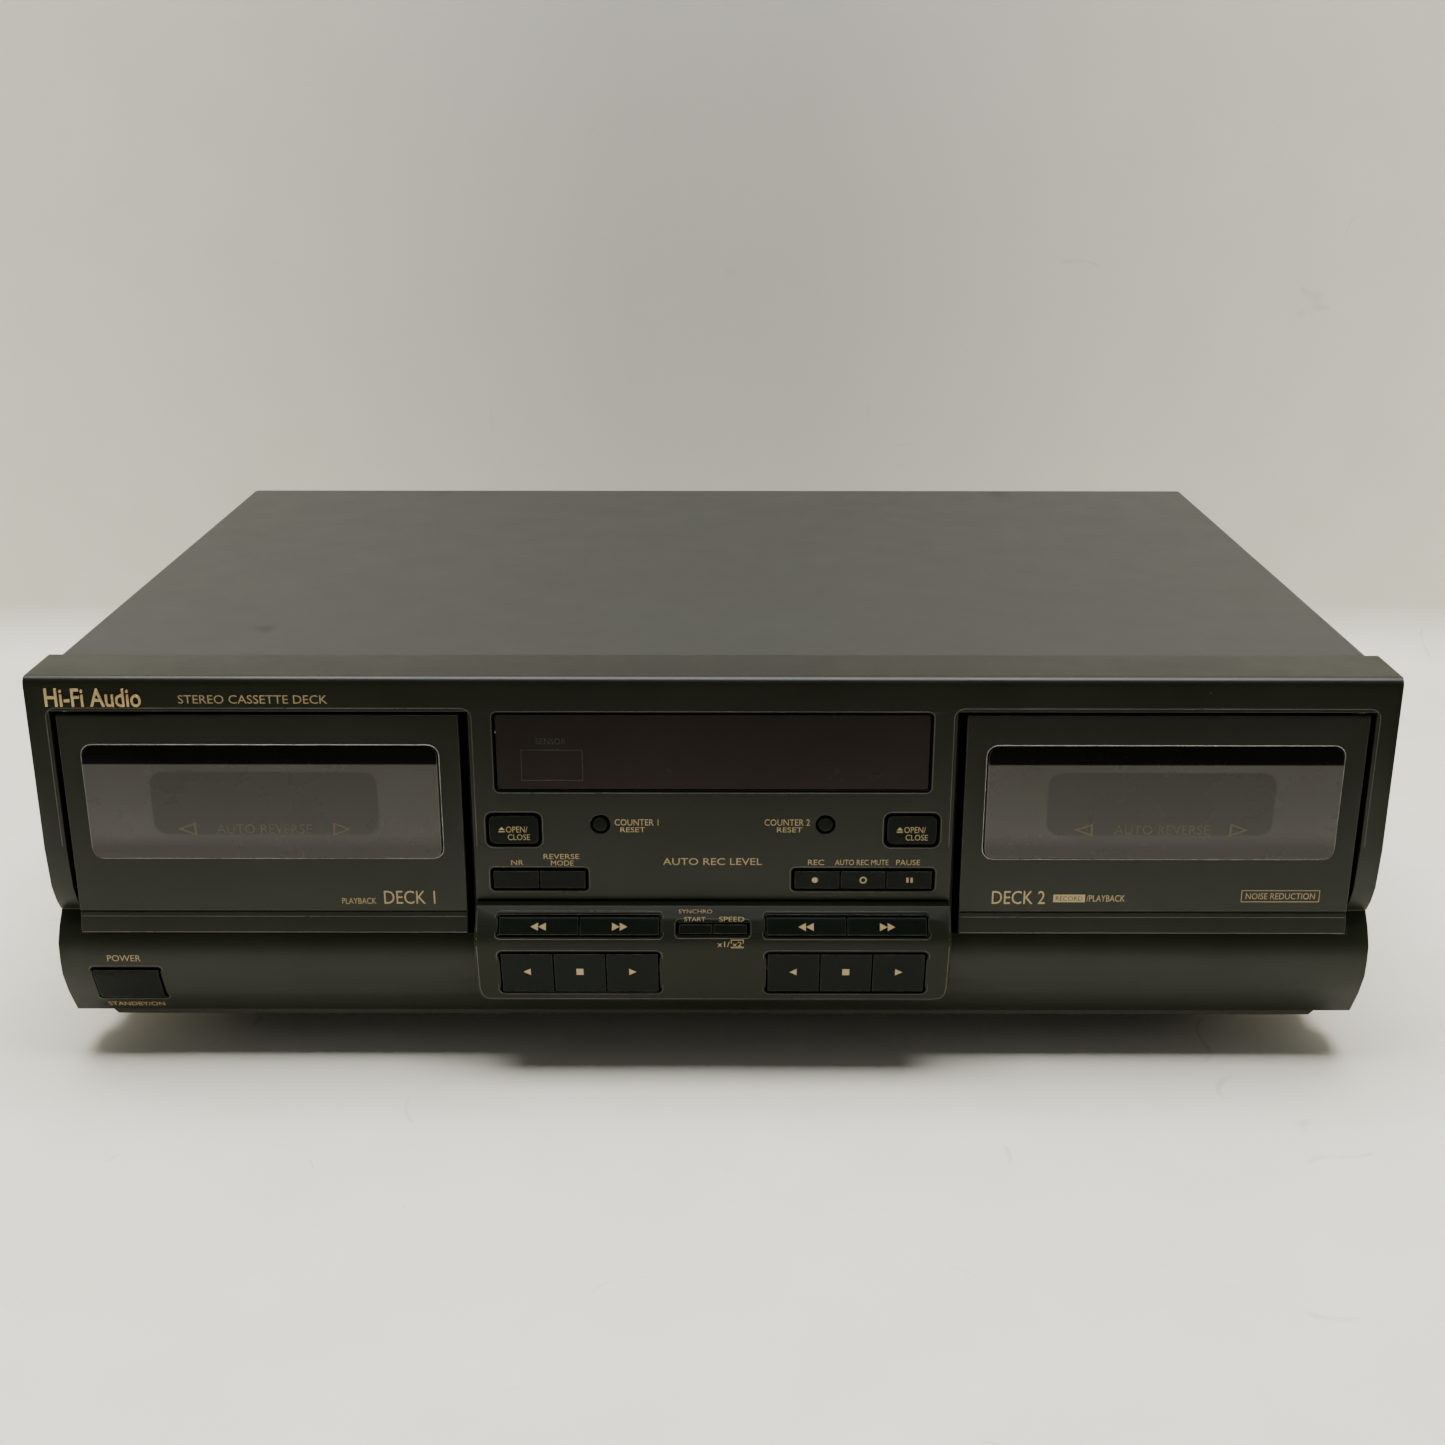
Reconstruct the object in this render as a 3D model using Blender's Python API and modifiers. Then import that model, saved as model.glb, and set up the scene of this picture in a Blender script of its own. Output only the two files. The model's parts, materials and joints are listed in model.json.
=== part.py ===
"""A full-width double cassette deck: two tilting cassette doors, a control column and two tape mechanisms.

Metres, +Z up, +X to the deck's right as seen from the front, +Y to its back. The origin is on the
surface that the feet stand on, under the middle of the deck. Distances called "down" are measured
below the top edge of the fascia, and distances called "back" behind the plane of its face.
"""

import math

import bmesh
import bpy
from mathutils import Matrix, Vector

MM = 0.001

# Clearances
FIT = 0.3 * MM  # between pieces that touch
SLOT_FIT = 0.5 * MM  # round a button in its hole
CUT = 5 * MM  # how far a cutter runs past a wall

# Fascia, from the centre line outwards
COLUMN_WIDTH = 153.6 * MM  # control column between the doors
INNER_GAP = 3.1 * MM  # column to door
DOOR_WIDTH = 126 * MM
OUTER_GAP = 1.9 * MM  # door to cheek
CHEEK_WIDTH = 7.2 * MM
FASCIA_WIDTH = COLUMN_WIDTH + 2 * (INNER_GAP + DOOR_WIDTH + OUTER_GAP + CHEEK_WIDTH)
DOOR_X = COLUMN_WIDTH / 2 + INNER_GAP + DOOR_WIDTH / 2

# Fascia, from the top edge down
TOP_BAR = 11.3 * MM
DOOR_TOP_GAP = 0.9 * MM
DOOR_HEIGHT = 75 * MM
DOOR_BOTTOM_GAP = 1.8 * MM
DOOR_TOP = TOP_BAR + DOOR_TOP_GAP
DOOR_BOTTOM = DOOR_TOP + DOOR_HEIGHT
LIP_OVERHANG = 5.2 * MM  # the door's lip hangs in front of the lower body
SPLIT = DOOR_BOTTOM - LIP_OVERHANG  # upper bezel to lower body
LOWER_HEIGHT = 39 * MM
FASCIA_BOTTOM = SPLIT + LOWER_HEIGHT
SKIRT_DROP = 2 * MM
SKIRT_WIDTH = 403 * MM
FASCIA_WALL = 2.6 * MM
FASCIA_DEPTH = 24.4 * MM
EDGE_RADIUS = 2.5 * MM

# Steel case
CASE_DEPTH = 280 * MM  # face plane to the cover's back edge
COVER_INSET = 2.6 * MM  # the fascia is this much wider on each side
COVER_STEEL = 1.2 * MM
COVER_BEND = 2.2 * MM
COVER_DROP = 0.4 * MM
BASE_STEEL = 1 * MM
BASE_FLANGE = 16 * MM
RIB_FRONT = 11.6 * MM
RIB_BACK = 20 * MM  # how far back the fascia's two inner ribs reach
BASE_FRONT = RIB_BACK + FIT
REAR_STEEL = 1 * MM
REAR_INSET = 2 * MM
FOOT_HEIGHT = 17.7 * MM
FOOT_RADIUS = 18 * MM
FOOT_X = 165 * MM
FOOT_FRONT = 52 * MM
FOOT_REAR_INSET = 42 * MM
BASE_UNDERSIDE = FASCIA_BOTTOM - FASCIA_WALL - 0.4 * MM
BASE_FLOOR = BASE_UNDERSIDE - BASE_STEEL
HEIGHT = BASE_UNDERSIDE + FIT + FOOT_HEIGHT

# Sockets at the back
JACK_LENGTH = 8.5 * MM
JACK_RADIUS = 4.2 * MM
JACK_BORE = 1.7 * MM
JACK_PITCH = 15 * MM
JACK_X = -120 * MM
JACK_DOWN = 62 * MM
JACK_FLANGE = 2 * MM
GLAND_X = 168 * MM
GLAND_DOWN = 84 * MM
GLAND_RADIUS = 7 * MM
GLAND_BORE = 1.9 * MM
GLAND_REACH = 6 * MM

# Transport panel, a bulged moulding below the control face
BULGE = 10.8 * MM
PANEL_WALL = 2.2 * MM
PANEL_RIM = 1.6 * MM  # top, bottom and end walls
PANEL_BACK = 5 * MM
PANEL_GAP = 0.6 * MM
PANEL_TOP = SPLIT - 5.8 * MM
PANEL_HEIGHT = 32.8 * MM
PANEL_CORNER = 4 * MM

# Buttons
BUTTON_FLANGE = 1 * MM
FLANGE_THICK = 1 * MM
STEM_HEIGHT = 2 * MM
BUTTON_SPACE = 0.4 * MM  # between neighbours in one slot
BOARD_BACK = 16 * MM
BOARD_THICK = 1.6 * MM
TRAVEL = 1 * MM

# Door, lens and cassette holder
DOOR_WALL = 3 * MM
LENS_WIDTH = 112.6 * MM
LENS_HEIGHT = 38.6 * MM
LENS_PROUD = 1.6 * MM
LENS_BACK = 2.6 * MM
LENS_SLOPE = 5.8 * MM
LENS_CORNER = 3.5 * MM
GROOVE_DOWN = 7.7 * MM  # above the door's bottom edge
GROOVE_WIDTH = 0.8 * MM
LIP_PROUD = 1 * MM
CASSETTE_WIDTH = 100.4 * MM
CASSETTE_THICK = 12 * MM
CASSETTE_HEIGHT = 63.8 * MM
CASSETTE_PLAY = 0.6 * MM
CASSETTE_LIFT = 11.7 * MM  # cassette's lower edge above the door's bottom
HUB_PITCH = 42.5 * MM
HUB_HEIGHT = 34 * MM
HOLDER_SHEET = 1.2 * MM
HOLDER_LIP = 5 * MM
HINGE_BACK = 6 * MM
HINGE_RISE = 3.2 * MM  # above the door's bottom edge
HINGE_PIN = 1.5 * MM
HINGE_PLAY = 0.35 * MM
EAR_WIDTH = 2.5 * MM

# Tape mechanism, behind each door
MECH_BACK = 24.6 * MM
MECH_STEEL = 1.5 * MM
MECH_HALF = 57 * MM
TONGUE_HALF = 35 * MM
MECH_CHAMFER = 3 * MM
CAPSTAN_X = 33 * MM
CAPSTAN_RADIUS = 1.25 * MM
FLYWHEEL_RADIUS = 18 * MM
FLYWHEEL_BACK = 51 * MM
FLYWHEEL_THICK = 6 * MM
MOTOR_RADIUS = 14 * MM
MOTOR_LENGTH = 21 * MM
MOTOR_RISE = 22 * MM  # motor shaft above the base floor
PULLEY_RADIUS = 5 * MM
SHAFT_TIP = 9 * MM
REEL_TIP_RADIUS = 3.8 * MM
REEL_TABLE_RADIUS = 9 * MM
REEL_GEAR_RADIUS = 11 * MM
SHAFT_RADIUS = 1.6 * MM
SHAFT_PLAY = 0.5 * MM

# Derived places
REAR_PLANE = CASE_DEPTH - REAR_INSET  # outer face of the rear panel
FACE_Y = -(REAR_PLANE + JACK_LENGTH - BULGE) / 2
CASSETTE_DOWN = DOOR_BOTTOM - CASSETTE_LIFT
HUB_DOWN = CASSETTE_DOWN - HUB_HEIGHT
HINGE_DOWN = DOOR_BOTTOM - HINGE_RISE
HOLDER_HALF = CASSETTE_WIDTH / 2 + CASSETTE_PLAY
HOLDER_FRONT = DOOR_WALL + FIT
CASSETTE_FRONT = HOLDER_FRONT + HOLDER_SHEET
CASSETTE_REAR = CASSETTE_FRONT + CASSETTE_THICK + CASSETTE_PLAY / 2
MOTOR_DOWN = BASE_FLOOR - MOTOR_RISE
CAPSTAN_DOWN = CASSETTE_DOWN - 7.5 * MM

# The fascia's side outline below its top bar, as (back, down)
BEZEL = ((0, SPLIT - 24 * MM), (1.5 * MM, SPLIT - 10.2 * MM), (4 * MM, SPLIT - 4 * MM), (6.7 * MM, SPLIT))
LOWER_DRAWN = 39 * MM  # height that the next outline is written for
LOWER_SCALE = LOWER_HEIGHT / LOWER_DRAWN
LOWER_BODY = (
    (7.5 * MM, SPLIT + 0.6 * MM * LOWER_SCALE),
    (3.9 * MM, SPLIT + 4.8 * MM * LOWER_SCALE),
    (0.8 * MM, SPLIT + 10.5 * MM * LOWER_SCALE),
    (0.5 * MM, SPLIT + 16 * MM * LOWER_SCALE),
    (0.9 * MM, SPLIT + 21.5 * MM * LOWER_SCALE),
    (4.2 * MM, SPLIT + 29.4 * MM * LOWER_SCALE),
    (9.8 * MM, FASCIA_BOTTOM),
)
# The transport panel's side outline
PANEL_CURVE = (
    (-3.3 * MM, PANEL_TOP),
    (-7.2 * MM, PANEL_TOP + 3.6 * MM),
    (-9.8 * MM, PANEL_TOP + 7.6 * MM),
    (-BULGE, PANEL_TOP + 10.2 * MM),
    (-10.2 * MM, PANEL_TOP + 13.6 * MM),
    (-8.7 * MM, PANEL_TOP + 21.1 * MM),
    (-6.6 * MM, PANEL_TOP + 29.1 * MM),
    (-5.8 * MM, PANEL_TOP + PANEL_HEIGHT),
)


def make_collection(name):
    collection = bpy.data.collections.new(name)
    bpy.context.scene.collection.children.link(collection)
    return collection


for leftover in list(bpy.data.objects):
    bpy.data.objects.remove(leftover, do_unlink=True)
DECK = make_collection("double_cassette_deck")
CUTTERS = make_collection("cutters")


def finish(name, red, green, blue, roughness, metallic=0.0):
    material = bpy.data.materials.new(name)
    material.use_nodes = True
    shader = material.node_tree.nodes["Principled BSDF"]
    shader.inputs["Base Color"].default_value = (red, green, blue, 1)
    shader.inputs["Roughness"].default_value = roughness
    shader.inputs["Metallic"].default_value = metallic
    return material


BLACK_ABS = finish("black_abs", 0.014, 0.014, 0.012, 0.45)
BUTTON_ABS = finish("button_abs", 0.009, 0.010, 0.009, 0.35)
SMOKED_ACRYLIC = finish("smoked_acrylic", 0.03, 0.028, 0.026, 0.15)
PAINTED_STEEL = finish("painted_steel", 0.06, 0.058, 0.05, 0.5)
ZINC_STEEL = finish("zinc_steel", 0.55, 0.56, 0.57, 0.35, 1.0)
RUBBER = finish("rubber", 0.02, 0.02, 0.02, 0.8)
NYLON = finish("nylon", 0.03, 0.03, 0.03, 0.5)
BRASS = finish("brass", 0.75, 0.6, 0.3, 0.3, 1.0)
PHENOLIC = finish("phenolic_board", 0.28, 0.16, 0.06, 0.6)
GLASS = finish("tube_glass", 0.05, 0.06, 0.06, 0.1)
LAMINATION = finish("lamination_steel", 0.16, 0.15, 0.14, 0.5, 0.8)


def down(distance):
    return HEIGHT - distance


def back(distance):
    return FACE_Y + distance


def add_object(name, mesh, material=None):
    made = bpy.data.objects.new(name, mesh)
    if material is None:
        CUTTERS.objects.link(made)
        made.hide_render = True
        made.display_type = "WIRE"
    else:
        DECK.objects.link(made)
        mesh.materials.append(material)
    return made


def mesh_from(name, form):
    mesh = bpy.data.meshes.new(name)
    form.to_mesh(mesh)
    form.free()
    return mesh


def box(name, x, y, z, material=None):
    """A block between two distances on each axis: across, back and down."""
    low = Vector((min(x), back(min(y)), down(max(z))))
    high = Vector((max(x), back(max(y)), down(min(z))))
    form = bmesh.new()
    bmesh.ops.create_cube(form, size=1)
    bmesh.ops.scale(form, vec=high - low, verts=form.verts)
    bmesh.ops.translate(form, vec=(low + high) / 2, verts=form.verts)
    return add_object(name, mesh_from(name, form), material)


def plate(name, outline, thickness, plane, material=None):
    """A flat outline with a thickness between two distances along the axis across its plane."""
    curve = bpy.data.curves.new(name, "CURVE")
    curve.dimensions = "2D"
    curve.fill_mode = "BOTH"
    curve.extrude = abs(thickness[1] - thickness[0]) / 2
    spline = curve.splines.new("POLY")
    spline.points.add(len(outline) - 1)
    for point, (u, v) in zip(spline.points, outline):
        point.co = (u, v, 0, 1)
    spline.use_cyclic_u = True
    guide = bpy.data.objects.new(name + "_outline", curve)
    CUTTERS.objects.link(guide)
    middle = sum(thickness) / 2
    if plane == "XZ":
        turn = Matrix(((1, 0, 0, 0), (0, 0, -1, middle), (0, 1, 0, 0), (0, 0, 0, 1)))
    else:
        turn = Matrix(((0, 0, 1, middle), (1, 0, 0, 0), (0, 1, 0, 0), (0, 0, 0, 1)))
    bpy.context.view_layer.update()
    mesh = bpy.data.meshes.new_from_object(guide.evaluated_get(bpy.context.evaluated_depsgraph_get()))
    bpy.data.objects.remove(guide, do_unlink=True)
    mesh.name = name
    mesh.materials.clear()
    mesh.transform(turn)
    form = bmesh.new()
    form.from_mesh(mesh)
    bmesh.ops.remove_doubles(form, verts=form.verts, dist=0.000001)
    bmesh.ops.dissolve_limit(form, angle_limit=0.001, verts=form.verts, edges=form.edges)
    bmesh.ops.recalc_face_normals(form, faces=form.faces)
    form.to_mesh(mesh)
    form.free()
    return add_object(name, mesh, material)


def side_plate(name, outline, x, material=None):
    """A plate across the deck, from an outline of (back, down) points."""
    return plate(name, [(back(b), down(d)) for b, d in outline], x, "YZ", material)


def front_plate(name, outline, y, material=None):
    """A plate facing the front, from an outline of (across, down) points."""
    return plate(name, [(x, down(d)) for x, d in outline], (back(y[0]), back(y[1])), "XZ", material)


def rounded(x, d, radii, steps=3):
    """A rectangle of (across, down) points whose top and bottom corners have their own radius."""
    left, right = min(x), max(x)
    top, bottom = min(d), max(d)
    upper, lower = radii
    corners = (
        (right - upper, top + upper, upper, -90),
        (right - lower, bottom - lower, lower, 0),
        (left + lower, bottom - lower, lower, 90),
        (left + upper, top + upper, upper, 180),
    )
    points = []
    for centre_x, centre_d, radius, start in corners:
        for step in range(steps + 1):
            angle = math.radians(start + 90 * step / steps)
            points.append((centre_x + radius * math.cos(angle), centre_d + radius * math.sin(angle)))
    return points


def rod(name, x, d, y, radius, material=None, sides=16):
    """A cylinder whose axis runs front to back."""
    form = bmesh.new()
    length = abs(y[1] - y[0])
    bmesh.ops.create_cone(form, cap_ends=True, segments=sides, radius1=radius, radius2=radius, depth=length)
    bmesh.ops.rotate(form, verts=form.verts, matrix=Matrix.Rotation(math.pi / 2, 3, "X"))
    bmesh.ops.translate(form, vec=(x, back(sum(y) / 2), down(d)), verts=form.verts)
    return add_object(name, mesh_from(name, form), material)


def cross_pin(name, x, y, d, radius, material=None, sides=12):
    """A cylinder whose axis runs across the deck."""
    form = bmesh.new()
    length = abs(x[1] - x[0])
    bmesh.ops.create_cone(form, cap_ends=True, segments=sides, radius1=radius, radius2=radius, depth=length)
    bmesh.ops.rotate(form, verts=form.verts, matrix=Matrix.Rotation(math.pi / 2, 3, "Y"))
    bmesh.ops.translate(form, vec=(sum(x) / 2, back(y), down(d)), verts=form.verts)
    return add_object(name, mesh_from(name, form), material)


def turned(name, profile, place, material, steps=24, to_front=False):
    """A profile of (radius, height) points, top to bottom, turned about its own axis at place."""
    mesh = bpy.data.meshes.new(name)
    count = len(profile)
    mesh.from_pydata([(r, 0, h) for r, h in profile], [(i, i + 1) for i in range(count - 1)], [])
    made = add_object(name, mesh, material)
    screw = made.modifiers.new("turn", "SCREW")
    screw.steps = steps
    screw.render_steps = steps
    screw.use_merge_vertices = True
    screw.merge_threshold = 0.00001
    screw.use_smooth_shade = True
    made.location = place
    if to_front:
        made.rotation_euler = (math.pi / 2, 0, 0)
    return made


def boolean(target, tool, operation):
    change = target.modifiers.new(tool.name, "BOOLEAN")
    change.object = tool
    change.operation = operation
    change.solver = "EXACT"


def cut(target, *tools):
    for tool in tools:
        boolean(target, tool, "DIFFERENCE")


def join(target, *tools):
    for tool in tools:
        boolean(target, tool, "UNION")


def set_origin(made, point):
    made.data.transform(Matrix.Translation(-Vector(point)))
    made.location = point


def add_empty(name, point):
    empty = bpy.data.objects.new(name, None)
    empty.location = point
    DECK.objects.link(empty)
    return empty


def curve_back(curve, d):
    """How far back a side outline is at a distance down, by straight lines between its points."""
    for (b0, d0), (b1, d1) in zip(curve[:-1], curve[1:]):
        if d0 <= d <= d1:
            return b0 + (b1 - b0) * (d - d0) / (d1 - d0)
    return curve[0][0] if d < curve[0][1] else curve[-1][0]


# ---------------------------------------------------------------- slots that buttons sit in

# name of the slot: (left, right, top, bottom, corner radius)
FACE_SLOTS = {
    "open_close_1": (-72.1 * MM, -55.3 * MM, 45.8 * MM, 56.5 * MM, 1.8 * MM),
    "open_close_2": (55.3 * MM, 72.1 * MM, 45.8 * MM, 56.5 * MM, 1.8 * MM),
    "mode_pair": (-71.3 * MM, -40.7 * MM, 64.9 * MM, 71.9 * MM, 0.8 * MM),
    "record_trio": (25.8 * MM, 71.1 * MM, 64.9 * MM, 71.9 * MM, 0.8 * MM),
}
ROW_TOP = PANEL_TOP + 2.2 * MM
ROW_HEIGHT = 5.6 * MM
KEYS_TOP = PANEL_TOP + 13.4 * MM
KEYS_HEIGHT = 16 * MM
SYNC_TOP = PANEL_TOP + 4 * MM
SYNC_HEIGHT = 3.5 * MM
PANEL_SLOTS = {
    "wind_pair_1": (-69.2 * MM, -16.8 * MM, ROW_TOP, ROW_TOP + ROW_HEIGHT, 0.6 * MM),
    "wind_pair_2": (16.8 * MM, 69.2 * MM, ROW_TOP, ROW_TOP + ROW_HEIGHT, 0.6 * MM),
    "play_trio_1": (-68.9 * MM, -17.2 * MM, KEYS_TOP, KEYS_TOP + KEYS_HEIGHT, 0.8 * MM),
    "play_trio_2": (17.2 * MM, 68.9 * MM, KEYS_TOP, KEYS_TOP + KEYS_HEIGHT, 0.8 * MM),
    "dub_pair": (-11.4 * MM, 11.4 * MM, SYNC_TOP, SYNC_TOP + SYNC_HEIGHT, 0.4 * MM),
}
POWER_INSET = 10 * MM  # from the fascia's left side
POWER_WIDTH = 22.5 * MM
POWER_HEIGHT = 13.4 * MM
POWER_RISE = 6.6 * MM  # above the fascia's bottom edge
POWER_LEFT = POWER_INSET - FASCIA_WIDTH / 2
POWER_FOOT = FASCIA_BOTTOM - POWER_RISE
POWER_SLOT = (POWER_LEFT, POWER_LEFT + POWER_WIDTH, POWER_FOOT - POWER_HEIGHT, POWER_FOOT, 0.8 * MM)
COUNTER_X = 36 * MM
COUNTER_DOWN = 49.2 * MM
COUNTER_WELL = 3.2 * MM
COUNTER_RADIUS = 2.3 * MM
DISPLAY_HALF = 68.7 * MM
DISPLAY_TOP = 12 * MM
DISPLAY_BOTTOM = 37.6 * MM


def slot_cutter(name, slot, y):
    left, right, top, bottom, radius = slot
    return front_plate(name + "_slot", rounded((left, right), (top, bottom), (radius, radius), 2), y)


# ---------------------------------------------------------------- case


def fascia_outline():
    arc = []
    for step in range(4):
        angle = math.radians(90 * step / 3)
        arc.append((EDGE_RADIUS * (1 - math.sin(angle)), EDGE_RADIUS * (1 - math.cos(angle))))
    return [(FASCIA_DEPTH, 0), *arc, *BEZEL, *LOWER_BODY, (FASCIA_DEPTH, FASCIA_BOTTOM)]


def fascia_hollow():
    """The space inside the fascia: its outline moved back by the wall, and open at the rear."""
    side = BEZEL + LOWER_BODY
    ends = (FASCIA_WALL, FASCIA_BOTTOM - FASCIA_WALL)
    inner = [(b + FASCIA_WALL, d) for b, d in side if ends[0] < d < ends[1]]
    lowest = (curve_back(side, ends[1]) + FASCIA_WALL, ends[1])
    rear = FASCIA_DEPTH + CUT
    return [(rear, ends[0]), (FASCIA_WALL, ends[0]), *inner, lowest, (rear, ends[1])]


def make_fascia():
    half = FASCIA_WIDTH / 2
    fascia = side_plate("front_fascia", fascia_outline(), (-half, half), BLACK_ABS)
    skirt_half = SKIRT_WIDTH / 2
    skirt_top = FASCIA_BOTTOM - 1 * MM
    skirt_bottom = FASCIA_BOTTOM + SKIRT_DROP
    slope = skirt_bottom - skirt_top
    skirt = (
        (-skirt_half - slope, skirt_top),
        (skirt_half + slope, skirt_top),
        (skirt_half, skirt_bottom),
        (-skirt_half, skirt_bottom),
    )
    join(fascia, front_plate("fascia_skirt", skirt, (10.6 * MM, FASCIA_DEPTH - 0.5 * MM)))
    inner = half - FASCIA_WALL
    cut(fascia, side_plate("fascia_hollow", fascia_hollow(), (-inner, inner)))
    rib = (COLUMN_WIDTH / 2 - 1.8 * MM, COLUMN_WIDTH / 2 + INNER_GAP - 0.6 * MM)
    for side, name in ((-1, "left"), (1, "right")):
        across = [side * value for value in rib]
        rib_bottom = FASCIA_BOTTOM - FASCIA_WALL / 2
        join(fascia, box(f"fascia_rib_{name}", across, (RIB_FRONT, RIB_BACK), (FASCIA_WALL / 2, rib_bottom)))
        web_depth = (FASCIA_WALL / 2, RIB_BACK - 1 * MM)
        web_rise = (FASCIA_WALL / 2 + 0.2 * MM, SPLIT - 24 * MM)
        web = box(f"fascia_web_{name}", across, web_depth, web_rise)
        join(fascia, web)
    straighten_column(fascia)
    aperture = (COLUMN_WIDTH / 2, COLUMN_WIDTH / 2 + INNER_GAP + DOOR_WIDTH + OUTER_GAP)
    through = (-CUT, 12 * MM)
    for side, name in ((-1, "left"), (1, "right")):
        across = [side * value for value in aperture]
        cut(fascia, box(f"door_aperture_{name}", across, through, (TOP_BAR, DOOR_BOTTOM + DOOR_BOTTOM_GAP)))
    panel_half = COLUMN_WIDTH / 2 + PANEL_GAP / 2
    corner = PANEL_CORNER + PANEL_GAP
    opening = rounded(
        (-panel_half, panel_half),
        (PANEL_TOP - PANEL_GAP, PANEL_TOP + PANEL_HEIGHT + PANEL_GAP),
        (0.2 * MM, corner),
    )
    cut(fascia, front_plate("panel_opening", opening, through))
    display = rounded((-DISPLAY_HALF, DISPLAY_HALF), (DISPLAY_TOP, DISPLAY_BOTTOM), (1 * MM, 1 * MM), 2)
    cut(fascia, front_plate("display_opening", display, (-CUT, CUT)))
    for name, slot in FACE_SLOTS.items():
        cut(fascia, slot_cutter(name, slot, (-CUT, CUT)))
    for side, number in ((-1, 1), (1, 2)):
        well = rod(f"counter_well_{number}", side * COUNTER_X, COUNTER_DOWN, (-CUT, CUT), COUNTER_WELL)
        cut(fascia, well)
    cut(fascia, slot_cutter("power", POWER_SLOT, (-CUT, 12 * MM)))


def straighten_column(fascia):
    """Keeps the control column flat down to the transport panel, where the cheeks curve back."""
    half = COLUMN_WIDTH / 2
    bend = BEZEL[0][1]
    face = box("column_face", (-half, half), (0, FASCIA_WALL), (bend - 1 * MM, PANEL_TOP))
    join(fascia, face)
    room = half - 2.2 * MM
    behind = (FASCIA_WALL, RIB_FRONT - 1 * MM)
    cut(fascia, box("column_hollow", (-room, room), behind, (bend - 0.5 * MM, PANEL_TOP + 1 * MM)))


def make_transport_panel():
    half = COLUMN_WIDTH / 2 - PANEL_GAP / 2
    bottom = PANEL_TOP + PANEL_HEIGHT
    outline = [(PANEL_BACK, PANEL_TOP), *PANEL_CURVE, (PANEL_BACK, bottom)]
    panel = side_plate("transport_panel", outline, (-half, half), BLACK_ABS)
    top, low = PANEL_TOP + PANEL_RIM, bottom - PANEL_RIM
    inner = [(b + PANEL_WALL, d) for b, d in PANEL_CURVE if top < d < low]
    rear = PANEL_BACK + CUT
    hollow = [
        (rear, top),
        (curve_back(PANEL_CURVE, top) + PANEL_WALL, top),
        *inner,
        (curve_back(PANEL_CURVE, low) + PANEL_WALL, low),
        (rear, low),
    ]
    cut(panel, side_plate("panel_hollow", hollow, (PANEL_RIM - half, half - PANEL_RIM)))
    shape = rounded((-half, half), (PANEL_TOP - CUT, bottom), (0.5 * MM, PANEL_CORNER))
    trim = front_plate("panel_corners", shape, (-BULGE - CUT, PANEL_BACK + CUT))
    boolean(panel, trim, "INTERSECT")
    for name, slot in PANEL_SLOTS.items():
        cut(panel, slot_cutter(name, slot, (-BULGE - CUT, PANEL_BACK - 1 * MM)))


def make_cover():
    """Top and sides folded from one sheet, with a rounded bend along each upper edge."""
    half = FASCIA_WIDTH / 2 - COVER_INSET
    bottom = BASE_UNDERSIDE - 0.5 * MM

    def bend(inset):
        radius = COVER_BEND - inset
        points = [(-half + inset, bottom)]
        for side in (-1, 1):
            for step in range(4):
                angle = math.radians(30 * step) if side < 0 else math.radians(90 - 30 * step)
                x = side * (half - COVER_BEND + radius * math.cos(angle))
                points.append((x, COVER_DROP + COVER_BEND - radius * math.sin(angle)))
        points.append((half - inset, bottom))
        return points

    outline = bend(0) + bend(COVER_STEEL)[::-1]
    front_plate("top_cover", outline, (FASCIA_DEPTH + FIT, CASE_DEPTH), PAINTED_STEEL)


def base_half():
    return FASCIA_WIDTH / 2 - COVER_INSET - COVER_STEEL - 0.6 * MM


def foot_places():
    rear = REAR_PLANE - FOOT_REAR_INSET
    corners = (("front_left", -1, FOOT_FRONT), ("front_right", 1, FOOT_FRONT), ("rear_left", -1, rear))
    return corners + (("rear_right", 1, rear),)


def make_base():
    half = base_half()
    rear = REAR_PLANE - REAR_STEEL - FIT
    rise = (BASE_UNDERSIDE - BASE_FLANGE, BASE_UNDERSIDE)
    base = box("chassis_base", (-half, half), (BASE_FRONT, rear), rise, ZINC_STEEL)
    inside = (BASE_STEEL - half, half - BASE_STEEL)
    cut(base, box("base_hollow", inside, (0, rear + CUT), (0, BASE_FLOOR)))
    past = half + CUT
    cut(base, box("base_front_relief", (-past, past), (0, FASCIA_DEPTH + 2 * MM), (0, BASE_FLOOR)))
    for index, (x, y) in enumerate(board_posts()):
        form = bmesh.new()
        height = BASE_FLOOR - MAIN_BOARD_DOWN - BOARD_THICK - FIT + 0.5 * MM
        bmesh.ops.create_cone(form, cap_ends=True, segments=8, radius1=3 * MM, radius2=2.5 * MM, depth=height)
        middle = BASE_FLOOR + 0.5 * MM - height / 2
        bmesh.ops.translate(form, vec=(x, back(y), down(middle)), verts=form.verts)
        join(base, add_object(f"board_post_{index}", mesh_from("board_post", form)))


def make_feet():
    top = FOOT_HEIGHT
    for name, side, y in foot_places():
        profile = (
            (0, top),
            (FOOT_RADIUS, top),
            (FOOT_RADIUS - 0.5 * MM, top * 0.3),
            (FOOT_RADIUS - 2.5 * MM, 0),
            (FOOT_RADIUS - 6 * MM, 0),
            (FOOT_RADIUS - 7 * MM, 2 * MM),
            (0, 2 * MM),
        )
        turned(f"foot_{name}", profile, (side * FOOT_X, back(y), 0), RUBBER)


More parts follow.
